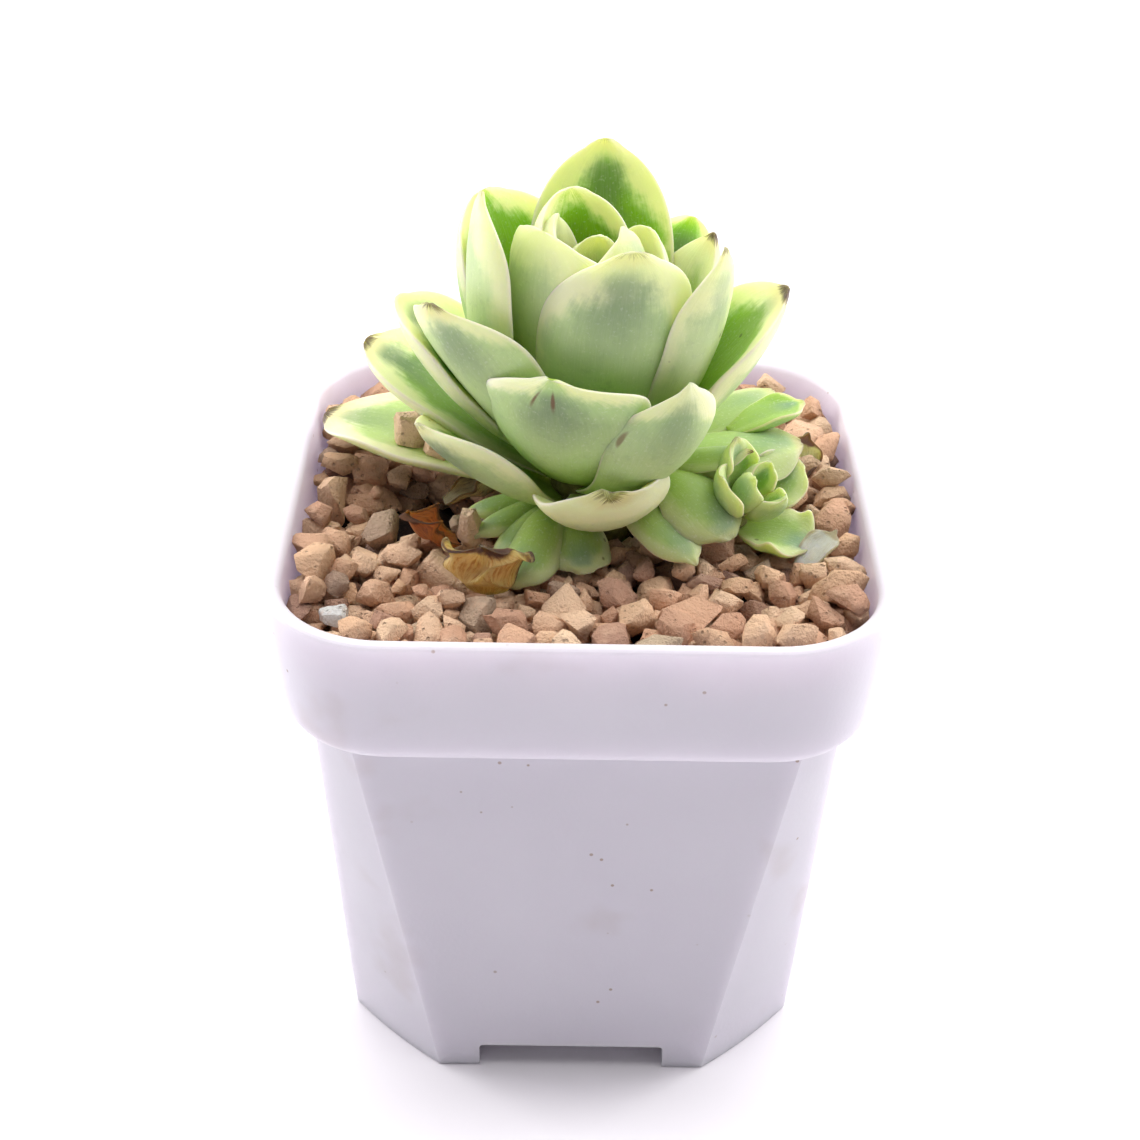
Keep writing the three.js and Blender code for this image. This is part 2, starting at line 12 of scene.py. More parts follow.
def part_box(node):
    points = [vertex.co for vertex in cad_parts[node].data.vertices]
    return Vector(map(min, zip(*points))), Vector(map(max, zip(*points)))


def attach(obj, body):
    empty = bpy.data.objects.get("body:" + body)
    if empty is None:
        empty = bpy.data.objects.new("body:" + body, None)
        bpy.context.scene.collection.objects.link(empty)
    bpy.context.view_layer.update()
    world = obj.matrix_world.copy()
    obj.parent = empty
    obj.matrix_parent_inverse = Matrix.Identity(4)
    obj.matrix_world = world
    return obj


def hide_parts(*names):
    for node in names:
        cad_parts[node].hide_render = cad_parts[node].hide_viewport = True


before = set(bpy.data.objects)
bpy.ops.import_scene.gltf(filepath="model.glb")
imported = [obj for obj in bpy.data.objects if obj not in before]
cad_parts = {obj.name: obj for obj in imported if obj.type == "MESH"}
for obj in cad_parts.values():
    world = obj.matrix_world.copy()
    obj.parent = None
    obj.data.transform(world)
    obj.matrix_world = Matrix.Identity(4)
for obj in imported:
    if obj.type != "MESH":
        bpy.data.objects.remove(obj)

MM = 0.001
NOISE_SEED = 5
noise.seed_set(NOISE_SEED)  # without a seed the noise starts from the clock
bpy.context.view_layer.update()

# ---- Levels and widths, worked out from the frame, in millimetres ----
POT_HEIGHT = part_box("pot")[1].z / MM
RIM_HALF_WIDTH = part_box("pot")[1].x / MM
MIX_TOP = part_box("potting_mix")[1].z / MM
FREEBOARD = 3.5  # from the gravel up to the rim
GRAVEL_TOP = POT_HEIGHT - FREEBOARD
CROWN_RISE = 4.5  # from the gravel up to the rosette's base
CROWN = GRAVEL_TOP + CROWN_RISE

# ---- Pot sizes, millimetres ----
WALL = 2.0
RIM_CORNER = 14.0
RIM_DRAFT = 2.1
RIM_DEPTH = 16.4
BODY_STEP = 3.2
BODY_CORNER = 4.5
FOOT_HALF_WIDTH = 27.2
FOOT_CORNER = 11.1
FLOOR_UNDERSIDE = 3.8
FLOOR_TOP = 5.8
NOTCH_HALF_WIDTH = 11.25
NOTCH_HEIGHT = 3.56
DRAIN_RADIUS = 2.4
DRAIN_SPACING = 13.0
TOP_ROUND = 0.75  # radius of the rim's upper edge
LOW_ROUND = 1.6  # radius of the rim's lower edge
FOOT_BEVEL = 0.25
STEP_BEVEL = 0.3
FOOT_EDGE = 0.2
RIM_BOTTOM = POT_HEIGHT - RIM_DEPTH
RIM_RIDGE = RIM_HALF_WIDTH - RIM_CORNER
RIM_LOW_HALF = RIM_HALF_WIDTH - RIM_DRAFT
BODY_HALF = RIM_LOW_HALF - BODY_STEP
BODY_RIDGE = BODY_HALF - BODY_CORNER
FOOT_RIDGE = FOOT_HALF_WIDTH - FOOT_CORNER

# ---- Plant sizes, millimetres ----
STEM_RADIUS = 5.0
STEM_ROOTED = 16
STEM_HEIGHT = 16
OFFSET_STEM_RADIUS = 1.6
OFFSET_STEM_ROOTED = 8
OFFSET_STEM_HEIGHT = 2
CROWN_SHIFT = 1.5
RIGHT_OFFSET_AT = (18, -4.3, -2.4)
RIGHT_OFFSET_TILT = (30, 20)  # degrees about Y, then about X
FRONT_OFFSET_AT = (-1.5, -3, -0.5)
LEAF_THICKNESS = 2.6
SMALL_LEAF_THICKNESS = 1.7
DRY_LEAF_THICKNESS = 0.7


def srgb(red, green, blue, alpha=1.0):
    """A screen colour, 0 to 255, as the linear colour that shaders take."""
    return tuple(((c / 255) / 12.92 if c < 10.3 else ((c / 255 + 0.055) / 1.055) ** 2.4)
                 for c in (red, green, blue)) + (alpha,)


# ---- Shader maths ----
PLACE_OUTPUT = 3  # Object, on a Texture Coordinate node
VECTOR_OUTPUT = 1  # on an Attribute node
NUMBER_OUTPUT = 2
COLOR_OUTPUT = 2  # on a Mix node


class Value:
    """A socket that can be used in sums."""

    def __init__(self, shader, socket):
        self.shader = shader
        self.socket = socket

    def math(self, operation, *others):
        values = {index: other for index, other in enumerate((self, *others))}
        return self.shader.node("ShaderNodeMath", {"operation": operation}, values)

    def __add__(self, other):
        return self.math("ADD", other)

    def __sub__(self, other):
        return self.math("SUBTRACT", other)

    def __mul__(self, other):
        return self.math("MULTIPLY", other)

    def __pow__(self, other):
        return self.math("POWER", other)

    def __rsub__(self, other):
        return self.shader.node("ShaderNodeMath", {"operation": "SUBTRACT"}, {0: other, 1: self})

    __radd__ = __add__
    __rmul__ = __mul__

    def __abs__(self):
        return self.math("ABSOLUTE")

    def clamped(self):
        return self.math("MAXIMUM", 0.0).math("MINIMUM", 1.0)


class Shader:
    """A new material and the nodes of its finish."""

    def __init__(self, name):
        self.material = bpy.data.materials.new(name)
        self.material.use_nodes = True
        self.tree = self.material.node_tree
        self.principled = self.tree.nodes["Principled BSDF"]

    def node(self, kind, settings=None, values=None, output=0):
        node = self.tree.nodes.new(kind)
        for key, setting in (settings or {}).items():
            if key == "stops":
                self.fill_ramp(node.color_ramp, setting)
            else:
                setattr(node, key, setting)
        for key, value in (values or {}).items():
            self.feed(node.inputs[key], value)
        return Value(self, node.outputs[output])

    def feed(self, socket, value):
        if isinstance(value, Value):
            self.tree.links.new(value.socket, socket)
        else:
            socket.default_value = value

    def fill_ramp(self, ramp, stops):
        while len(ramp.elements) < len(stops):
            ramp.elements.new(0.5)
        for element, (position, color) in zip(ramp.elements, stops):
            element.position = position
            element.color = color

    def finish(self, **values):
        """Sets the main shader's sockets, with spaces for underscores, and gives the material."""
        for key, value in values.items():
            self.feed(self.principled.inputs[key.replace("_", " ")], value)
        return self.material

    def mix(self, first, second, share):
        values = {0: share, 6: first, 7: second}
        return self.node("ShaderNodeMix", {"data_type": "RGBA"}, values, COLOR_OUTPUT)

    def ramp(self, share, *stops):
        """Stops are (position, red, green, blue)."""
        stops = [(position, srgb(*color)) for position, *color in stops]
        return self.node("ShaderNodeValToRGB", {"stops": stops}, {0: share})

    def rise(self, value, low, high):
        """0 below low, 1 above high, smooth in between."""
        values = {"Value": value, "From Min": low, "From Max": high}
        settings = {"interpolation_type": "SMOOTHSTEP"}
        return self.node("ShaderNodeMapRange", settings, values)

    def place(self):
        return self.node("ShaderNodeTexCoord", output=PLACE_OUTPUT)

    def attribute(self, name, output=VECTOR_OUTPUT):
        return self.node("ShaderNodeAttribute", {"attribute_name": name}, output=output)

    def parts(self, vector):
        node = self.node("ShaderNodeSeparateXYZ", values={0: vector}).socket.node
        return [Value(self, output) for output in node.outputs]

    def vector(self, x, y, z):
        return self.node("ShaderNodeCombineXYZ", values={0: x, 1: y, 2: z})

    def noise(self, vector, scale, detail=3.0, roughness=0.55):
        values = {"Vector": vector, "Scale": scale, "Detail": detail, "Roughness": roughness}
        return self.node("ShaderNodeTexNoise", values=values)

    def cells(self, vector, scale):
        """How far each place is from the middle of its cell."""
        return self.node("ShaderNodeTexVoronoi", values={"Vector": vector, "Scale": scale})

    def bump(self, height, distance, strength=1.0):
        values = {"Height": height, "Distance": distance, "Strength": strength}
        return self.node("ShaderNodeBump", values=values)


# ---- Piece making ----
POT_CREASE = math.radians(24)
PEBBLE_CREASE = math.radians(40)
GRAIN_CREASE = math.radians(58)
STEM_CREASE = math.radians(60)


def put_in_scene(name, data):
    made = bpy.data.objects.new(name, data)
    bpy.context.scene.collection.objects.link(made)
    return made


def made_mesh(name, bm):
    mesh = bpy.data.meshes.new(name)
    bm.to_mesh(mesh)
    bm.free()
    return mesh


def mesh_object(name, bm):
    """Turns a bmesh in millimetres into an object in metres."""
    bmesh.ops.scale(bm, vec=(MM, MM, MM), verts=bm.verts)
    return put_in_scene(name, made_mesh(name, bm))


def new_piece(name, bm, material, slot, *nodes):
    """A piece from a bmesh: it rides on the root and stands for CAD nodes."""
    piece = mesh_object(name, bm)
    piece.data.materials.append(material)
    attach(piece, "root")
    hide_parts(*nodes)
    return piece


def only(kind, geometry):
    return [item for item in geometry if isinstance(item, kind)]


def shade(bm, sharp_angle=math.pi):
    """Smooth faces, with the edges that turn more than sharp_angle kept crisp."""
    for face in bm.faces:
        face.smooth = True
    for edge in bm.edges:
        edge.smooth = edge.calc_face_angle(0) < sharp_angle


# ---- Leaves ----
# Looks: blunt is how round the tip is, green how green the middle band, margin how wide the pale
# edge, shift how far the band lies to one side, patch the dark bloom near the tip, burn the brown of
# the tip, ripple the edge's waviness, notch a cut-back tip, lean a sideways bend, crumple the folds
# of a dry leaf, and scar the place and strength of a pair of brown marks.
PLAIN = dict(blunt=0.3, green=0.7, margin=0.35, shift=0.0, patch=0.6, burn=0.3, ripple=0.2, notch=0.0,
             scar=(0, 0, 0), lean=0.0, crumple=0.0, twist=0, turn=0)


def blade(name, around, at, length, width, climb, cup, **looks):
    """A leaf's place, size and bends, the same as its CAD solid's, and its looks. It points around
    degrees from +X, slopes from climb[0] at its base to climb[1] at its tip, and curls up by cup
    degrees to each edge. A growing leaf starts at (out from the stem, up), and a fallen one at a
    place measured from the middle of the gravel's top."""
    return dict(PLAIN, name=name, around=around, at=at, length=length, width=width, climb=climb,
                cup=cup, **looks)


MAIN_LEAVES = [
    blade("heart_leaf_front", -25, (-1.8, 15.4), 17, 13, (70, 112), 80, green=0.5, patch=0.5,
          burn=0.0),
    blade("heart_leaf_left", 165, (0.1, 15.8), 17, 11, (70, 112), 100, green=0.4, patch=0.3,
          burn=0.0),
    blade("heart_leaf_right", 75, (-3.2, 13.8), 17, 12, (74, 116), 105, blunt=0.9, green=0.6,
          patch=0.3, burn=0.0),
    blade("back_hood_leaf", 127, (-2.5, 9), 26, 19, (58, 106), 90, blunt=1.0, green=1.0, margin=-0.05,
          patch=0.0, burn=0.0),
    blade("right_small_leaf", 38, (-2, 9), 21.5, 13, (60, 98), 50, blunt=1.3, green=0.55, margin=0.3,
          patch=0.0, burn=0.0),
    blade("front_left_bud_leaf", -140, (-2, 6.3), 27.5, 24, (62, 98), 65, blunt=1.4, green=0.3,
          margin=0.2, shift=-0.2, patch=0.3, burn=0.0),
    blade("front_centre_leaf", -82, (-1, 4.5), 29.5, 19, (58, 98), 50, blunt=0.8, green=0.75,
          margin=0.24, shift=-0.18, patch=0.85, burn=0.45, lean=2.2),
    blade("back_tall_leaf", 87, (-1.5, 6), 32.5, 18, (58, 84), 40, blunt=0.5, green=1.0, margin=0.12,
          shift=-0.1, patch=0.7, burn=0.5),
    blade("left_upright_leaf", -170, (6.4, 8), 28.5, 15, (80, 94), 45, blunt=0.2, green=0.45,
          margin=0.3, patch=0.3, burn=0.6),
    blade("back_left_broad_leaf", 146, (0, 5), 29.5, 23, (50, 85), 50, blunt=1.1, green=1.0,
          margin=-0.1, patch=0.1, burn=0.2),
    blade("back_right_leaf", 48, (-1, 4), 27, 19, (50, 74), 45, blunt=0.7, green=1.0, margin=-0.25,
          patch=0.8, burn=0.2),
    blade("right_middle_leaf", 22, (-1, 5), 26, 14, (54, 80), 50, green=0.5, margin=0.5, patch=0.1,
          burn=1.6),
    blade("right_front_leaf", -27, (0, 5), 29.5, 13, (53, 86), 45, green=0.4, margin=0.4, shift=-0.5,
          patch=0.6, burn=0.7),
    blade("front_low_leaf", -106, (2, 3.5), 20, 21, (46, 76), 45, blunt=0.6, green=0.95, margin=-0.2,
          patch=1.0, burn=0.0, ripple=0.45, scar=(-0.14, 0.9, 0.85)),
    blade("left_front_leaf", -158, (0, 4), 26, 22, (46, 66), 40, blunt=0.4, green=0.75, margin=-0.05,
          shift=0.5, patch=0.9, burn=0.9, twist=22),
    blade("right_broad_leaf", 2, (0, 4), 26, 19, (42, 60), 35, blunt=0.7, green=0.95, margin=0.22,
          patch=0.5, burn=1.7),
    blade("right_front_low_leaf", -90, (1, 2.5), 23, 15, (18, 88), 55, turn=50, twist=-22, blunt=0.1,
          green=0.85, margin=0.05, shift=-0.4, patch=0.7, burn=0.0, scar=(-0.97, 0.66, 0.7)),
    blade("left_inner_leaf", 170, (0, 3), 25.5, 17, (34, 56), 40, blunt=0.7, green=0.95, margin=0.28,
          patch=0.8),
    blade("left_outer_leaf", 165, (0, 1), 26, 17, (24, 36), 35, blunt=0.9, green=0.8, margin=0.3,
          patch=1.0, burn=1.4),
    blade("front_curled_leaf", -84, (1, 1), 14, 17, (-10, 75), 45, twist=12, blunt=0.6, green=0.15,
          margin=0.6, patch=0.0, burn=0.85, notch=0.12, ripple=0.5),
    blade("left_front_low_leaf", -140, (0, -0.8), 20.5, 17.5, (26, 46), 40, turn=-22, twist=15,
          blunt=0.4, green=0.75, margin=0.26, shift=0.3, patch=1.0, burn=0.5),
    blade("back_low_leaf", 100, (0, 1), 28, 17, (25, 42), 35),
    blade("back_right_low_leaf", 62, (0, 1), 27, 16, (22, 40), 35),
    blade("back_left_low_leaf", 128, (0, 0), 27, 16, (12, 24), 35),
    blade("left_lying_leaf", 157, (0, -1), 30.3, 17, (4, 3), 30, blunt=0.5, green=0.45, margin=0.2,
          patch=0.7, burn=1.8, ripple=0.4),
]
SIDE_LEAVES = [
    blade("side_wide_leaf", 10, (3, 1.5), 18.5, 13, (16, -8), -35, blunt=0.9, patch=0.8, burn=0.8,
          ripple=0.5, margin=0.45),
    blade("side_upper_leaf", 33, (5, 1), 18, 9, (14, 6), -30, blunt=0.7, green=0.5),
    blade("side_tip_leaf", 20, (14, 3), 9.5, 6, (15, 15), 40, blunt=0.7, green=1.0, patch=1.0,
          margin=-0.3),
    blade("side_pointed_leaf", -10, (4, 3.5), 11, 6, (15, 10), -40, blunt=0.0, green=0.4, burn=1.0,
          ripple=0.3),
    blade("side_front_leaf", -29, (5.3, 3.5), 12, 12, (15, -60), -50, turn=-8, blunt=1.0, patch=0.9,
          burn=0.0, ripple=0.3),
    blade("side_hanging_leaf", -50, (1, 2.2), 15, 8, (4, -36), -45, patch=0.7, burn=0.1),
]
RIGHT_OFFSET_LEAVES = [
    *[blade("offset_heart_leaf_" + mark, around, (-0.6, 2), 6, width, (slope, 95), 85, blunt=0.8,
            burn=0.0)
      for mark, around, width, slope in (("a", -30, 5.5, 55), ("b", 100, 5, 55), ("c", -150, 5, 60))],
    blade("offset_inner_leaf", 150, (-0.1, 1.5), 8, 7, (40, 70), 60, blunt=0.8, burn=0.6,
          ripple=0.45),
    blade("offset_left_leaf", -150, (-0.1, 1.5), 8, 7, (40, 60), 60, blunt=0.8, ripple=0.3),
    blade("offset_right_leaf", -25, (-0.1, 0), 8.5, 10, (25, 45), 50, blunt=1.1, patch=1.0, burn=0.5,
          ripple=0.5),
    blade("offset_back_leaf", 60, (-0.1, 0.5), 9, 8, (20, 40), 50, blunt=0.9, burn=0.2, ripple=0.3),
]
FRONT_OFFSET_LEAVES = [
    blade("front_offset_leaf_a", -169, (-0.6, 0), 11, 5, (4, -18), -50),
    blade("front_offset_leaf_b", -148, (-0.6, 0), 11.5, 5, (4, -22), -50),
    blade("front_offset_leaf_c", -127, (-0.1, 0), 12, 5, (2, -25), -50),
    blade("front_offset_leaf_d", -112, (2.4, 0.5), 12.5, 8.5, (0, -38), -60, blunt=0.7, patch=0.7),
    blade("front_offset_leaf_e", -80, (2.4, 0), 9, 8.5, (0, -38), -55, blunt=0.9, patch=0.9),
]
DRY_LEAVES = [
    blade("dry_cup_leaf", 200, (-14, -8.4, 0.6), 8, 8, (0, 75), 110, ripple=0.7, crumple=1.0),
    blade("dry_papery_leaf", -95, (-10.3, -17.5, -0.6), 8, 12.5, (55, 85), 70, ripple=0.7,
          crumple=2.2),
    blade("dry_pale_leaf", 15, (-16, -0.5, 1.2), 8, 5, (10, 40), 90, ripple=0.7, crumple=1.0),
    blade("half_buried_leaf", 55, (25, 7.5, -0.8), 7.5, 7, (25, 60), 40, ripple=0.4, crumple=0.6),
    blade("fallen_pale_leaf", 40, (25.2, -12, 0), 6, 5, (20, 35), 45, ripple=0.15, crumple=0.3),
]
# Name, place from the middle of the gravel's top, half sizes, turn, and place among the tones.
STONES = [
    ("stone_on_leaf_outer", (-20.2, 6.2, 7.3), (2.1, 1.8, 2.1), 30, 0.25),
    ("stone_on_leaf_inner", (-17, 3, 6.4), (1.6, 1.3, 1.5), -20, 0.2),
    ("upright_stone", (-12.6, -8.6, 2.2), (1.3, 1.2, 2.5), 20, 0.3),
    ("tall_stone", (-29.6, 2.4, 0.4), (1.8, 2.4, 3), 10, 0.45),
    ("white_stone", (-26.8, -24, 0.3), (1.7, 1.3, 1.2), 15, 1.0),
    ("speckled_stone", (-7.4, -25.4, 0.3), (2.1, 1.7, 1.7), -35, 0.85),
]

NARROW_BASE = 0.4  # a leaf's width at its base, as a share of its widest
WIDEST_AT = 0.6
BASE_SWELL = 1.3
TIP_TAPER = 1.9
BLUNT_TAPER = 1.1  # how much a blunt tip adds to the taper
TIP_POWER = 0.76
BLUNT_POWER = 0.26
THIN_BASE = 0.35
THICKEST_FROM = 0.45
THINNER_FROM = 0.5
THIN_TAPER = 2.2
ARC_STEPS = 120
POINT_LENGTH = 0.5  # the small point at a leaf's tip
POINT_FROM = 0.975
TIP_CROWDING = 1.5  # draws the rings together towards the tip
INNER_BELLY = 0.75
OUTER_BELLY = 1.25
WAVER = 0.02
DIMPLE = 0.1
CRUMPLE_SCALE = 0.32
LEAF_RINGS = 40
LEAF_SIDES = 36
SMALL_LEAF_RINGS = 28


def width_share(s, blunt):
    """Half width of a leaf as a share of its widest, s going from base to tip."""
    if s < WIDEST_AT:
        swell = math.sin(s / WIDEST_AT * math.pi / 2) ** BASE_SWELL
        return NARROW_BASE + (1 - NARROW_BASE) * swell
    to_tip = (s - WIDEST_AT) / (1 - WIDEST_AT)
    left = max(0.0, 1 - to_tip ** (TIP_TAPER + BLUNT_TAPER * blunt))
    return left ** (TIP_POWER - BLUNT_POWER * min(blunt, 1))


def thickness_share(s):
    fill = THIN_BASE + (1 - THIN_BASE) * math.sin(min(s / THICKEST_FROM, 1) * math.pi / 2)
    past = max(0.0, (s - THINNER_FROM) / (1 - THINNER_FROM))
    return fill * max(0.0, 1 - past ** THIN_TAPER) ** 0.5


def middle_line(length, climb):
    """Middle line of a leaf in its XZ plane: its slope goes evenly from climb[0] to climb[1]."""
    line = []
    x = z = 0.0
    for step in range(ARC_STEPS + 1):
        slope = math.radians(climb[0] + (climb[1] - climb[0]) * step / ARC_STEPS)
        line.append((x, z, slope))
        x += math.cos(slope) * length / ARC_STEPS
        z += math.sin(slope) * length / ARC_STEPS
    return line


def smooth_rise(value, low, high):
    t = min(max((value - low) / (high - low), 0.0), 1.0)
    return t * t * (3 - 2 * t)


def turned(x, y, angle):
    return x * math.cos(angle) - y * math.sin(angle), x * math.sin(angle) + y * math.cos(angle)


def leaf_mesh(leaf, thickness, placing, seed, rings=LEAF_RINGS, sides=LEAF_SIDES):
    """A leaf from a sphere whose poles become the middle of the base and the tip. Each vertex
    carries its place on the leaf: across from edge to edge, along from base to tip, inner face."""
    bm = bmesh.new()
    bmesh.ops.create_uvsphere(bm, u_segments=sides, v_segments=rings, radius=1)
    place = bm.verts.layers.float_vector.new("leaf_place")
    tint = bm.verts.layers.float_vector.new("leaf_tint")
    marks = bm.verts.layers.float_vector.new("leaf_marks")
    scar = bm.verts.layers.float_vector.new("leaf_scar")
    half = leaf["width"] / 2
    fold = math.radians(leaf["cup"]) / half
    twist = math.radians(leaf["twist"])
    line = middle_line(leaf["length"], leaf["climb"])
    chance = random.Random(seed)
    phase = [chance.uniform(0, 2 * math.pi) for _ in range(4)]
    for vert in bm.verts:
        from_base = math.acos(min(max(vert.co.z, -1.0), 1.0)) / math.pi
        evenly = max(0.0, (from_base - 1 / rings) / (1 - 1 / rings))
        s = 1 - (1 - evenly) ** TIP_CROWDING
        spread = 0.0 if from_base < 1e-6 else 1.0
        angle = math.atan2(vert.co.y, vert.co.x)
        across = math.cos(angle) * spread
        side = math.sin(angle) * spread
        wave = 1 + WAVER * math.sin(9 * s + phase[0])
        x = half * width_share(s, leaf["blunt"]) * across * wave
        belly = INNER_BELLY if side > 0 else OUTER_BELLY
        lift = thickness / 2 * thickness_share(s) * belly * math.copysign(abs(side) ** 1.1, side)
        lift += DIMPLE * math.sin(5 * across + phase[1]) * math.sin(4 * s + phase[2]) * abs(side)
        bend = x * fold
        px = math.sin(bend) / fold - lift * math.sin(bend)
        py = (1 - math.cos(bend)) / fold + lift * math.cos(bend)
        edge = smooth_rise(abs(across), 0.4, 1.0) * smooth_rise(s, 0.25, 0.7)
        waves = 11 + 3 * math.sin(phase[3])
        py += leaf["ripple"] * edge * math.sin(waves * s + phase[3] + 2 * across)
        px, py = turned(px, py, twist * s)
        px += leaf["lean"] * s * s
        pulled = s * (1 - leaf["notch"] * (1 - across * across) * smooth_rise(s, 0.5, 0.95))
        step = min(int(pulled * ARC_STEPS), ARC_STEPS - 1)
        rest = pulled * ARC_STEPS - step
        here, after = line[step], line[step + 1]
        mx, mz, slope = (a + (b - a) * rest for a, b in zip(here, after))
        point = POINT_LENGTH * smooth_rise(s, POINT_FROM, 1.0)
        mx += point * math.cos(slope)
        mz += point * math.sin(slope)
        vert.co = placing @ Vector((mx - py * math.sin(slope), px, mz + py * math.cos(slope)))
        folds = noise.noise_vector(vert.co * CRUMPLE_SCALE)
        vert.co += leaf["crumple"] * smooth_rise(s, 0.0, 0.4) * folds
        vert[place] = (across, s, 0.5 + 0.5 * side)
        vert[tint] = (leaf["green"], leaf["margin"], leaf["shift"])
        vert[marks] = (leaf["patch"], leaf["burn"], (seed % 97) / 97)
        vert[scar] = leaf["scar"]
    bmesh.ops.recalc_face_normals(bm, faces=bm.faces)
    shade(bm)
    return bm


def leaf_placing(leaf, stem_radius, group):
    direction = math.radians(leaf["around"])
    out, up = leaf["at"]
    reach = stem_radius + out
    base = Vector((reach * math.cos(direction), reach * math.sin(direction), up))
    turn = direction + math.radians(leaf["turn"])
    return group @ Matrix.Translation(base) @ Matrix.Rotation(turn, 4, "Z")


def leaf_material(name, **colors):
    """Waxy leaf: a green band between paler margins, a grey bloom near the tip and fine streaks."""
    sh = Shader(name)
    bloom, edge, base = (srgb(*colors[key]) for key in ("bloom", "edge", "base"))
    across, along, inner = sh.parts(sh.attribute("leaf_place"))
    green, margin_width, shift = sh.parts(sh.attribute("leaf_tint"))
    patch, burn, seed = sh.parts(sh.attribute("leaf_marks"))
    object_place = sh.place()
    streak_place = sh.vector(across * 7.0 + seed * 31.0, along * 1.6, seed * 17.0)
    streaks = sh.noise(streak_place, 3.0, 4.0, 0.6)
    fine = sh.noise(sh.vector(across * 40.0, along * 4.0, seed * 9.0), 2.0, 3.0, 0.6)
    clouds = sh.noise(object_place, 260.0, 3.0, 0.5)
    grains = sh.noise(object_place, 2600.0, 2.0, 0.6)

    mottle = sh.noise(object_place, 700.0, 4.0, 0.7)
    toward_tip = sh.rise(along, 0.55, 1.0) ** 1.2
    sideways = abs(across - shift * 0.5)
    rim = (sideways * sideways + toward_tip * toward_tip).math("SQRT")
    wander = (streaks - 0.5) * 0.2 + (clouds - 0.5) * 0.55 + (mottle - 0.5) * 0.2
    band = 1.0 - sh.rise(rim + wander, 0.77 - margin_width * 0.8, 1.05 - margin_width * 0.63)
    is_inner = sh.rise(inner, 0.42, 0.58)

    middle = sh.mix(srgb(*colors["outer"]), srgb(*colors["inner"]), is_inner)
    low = 1.0 - sh.rise(along, 0.1, 0.62)
    middle = sh.mix(middle, base, low * (1.0 - is_inner * 0.5))
    pale = sh.mix(srgb(*colors["margin"]), base, (1.0 - sh.rise(along, 0.0, 0.45)) * 0.75)
    color = sh.mix(pale, middle, band * (green * 0.7 + 0.3))
    bloom_spot = sh.rise(along + (clouds - 0.5) * 0.16, 0.5, 0.84) * (1.0 - sh.rise(along, 0.9, 0.995))
    ragged = (clouds - 0.5) * 0.7 + (mottle - 0.5) * 0.35 + (streaks - 0.5) * 0.2
    bloom_spot = bloom_spot * (1.0 - sh.rise(sideways + ragged, 0.08, 0.62))
    color = sh.mix(color, bloom, (bloom_spot * patch).clamped() * 0.85)
    color = sh.mix(color, srgb(255, 255, 240), (fine - 0.45).clamped() * 0.22)
    color = sh.mix(color, bloom, sh.rise(mottle, 0.5, 0.72) * 0.22 * band)
    color = sh.mix(color, srgb(250, 250, 232), sh.rise(grains, 0.56, 0.74) * 0.16)
    color = sh.mix(color, srgb(232, 240, 226), (1.0 - is_inner) * 0.1)
    color = sh.mix(color, edge, sh.rise(abs(across), 0.95, 1.0) * 0.65)

    freckle = 1.0 - sh.rise(sh.cells(object_place, 170.0), 0.035, 0.06)
    color = sh.mix(color, srgb(70, 70, 30), freckle * 0.6)
    tip_reach = along + (streaks - 0.5) * 0.05 + (clouds - 0.5) * 0.03
    scorch = sh.rise(tip_reach, 0.998 - burn * 0.018, 1.004 - burn * 0.01)
    tan = sh.rise(tip_reach, 0.97 - burn * 0.05, 1.0)
    color = sh.mix(color, srgb(206, 168, 120), tan * burn.clamped() * 0.5)
    color = sh.mix(color, srgb(74, 50, 40), scorch * burn.clamped())

    scar_across, scar_along, scar_size = sh.parts(sh.attribute("leaf_scar"))
    beside = abs(abs(across - scar_across) - 0.14) * 20.0
    above = abs(along - scar_along) * 13.0
    scar_reach = (beside * beside + above * above).math("SQRT") + (clouds - 0.5) * 1.6
    scarred = (1.0 - sh.rise(scar_reach, 0.35, 0.95)) * scar_size
    color = sh.mix(color, srgb(118, 82, 62), scarred)

    waxy = 0.42 + (clouds - 0.5) * 0.2 + bloom_spot * 0.12
    relief = streaks * 0.35 + fine * 0.15 + grains * 0.2 + mottle * 0.3
    return sh.finish(Base_Color=color, Roughness=waxy, Normal=sh.bump(relief, 0.00025, 0.5),
                     Subsurface_Weight=0.5, Subsurface_Radius=(0.8, 1.0, 0.25), Subsurface_Scale=0.004,
                     Specular_IOR_Level=0.35)


def add_leaves(leaves, stem_radius, thickness, group, material, slot, rings=LEAF_RINGS,
               sides=LEAF_SIDES):
    pieces = []
    for index, leaf in enumerate(leaves):
        seed = 7 + 13 * index + len(leaf["name"])
        bm = leaf_mesh(leaf, thickness, leaf_placing(leaf, stem_radius, group), seed, rings, sides)
        name = leaf["name"].replace("_leaf", "_blade")
        pieces.append(new_piece(name, bm, material, slot, leaf["name"]))
    return pieces


# ---- Square rings: the pot, its fill and its cavity share them ----
CORNER_STEPS = 14
SIDE_STEPS = 10
ROUND = 1.0  # a corner's shape, from 0, a flat cut, to 1, an arc
SOFT_CHAMFER = 0.15
ROUND_STEPS = 4  # rings on a rounded edge
CENTRE = (0.6, 0.3, ROUND)  # the small ring that a flat end closes on
BODY_LEVELS = (6, 14, 24, 34, 44)  # heights of rings between the pot's edges
RIM_LEVELS = (56, 60, 64)
INNER_RIM_LEVELS = (62, 57)
INNER_BODY_LEVELS = (30, 12)
CUTTER_LENGTH = 90


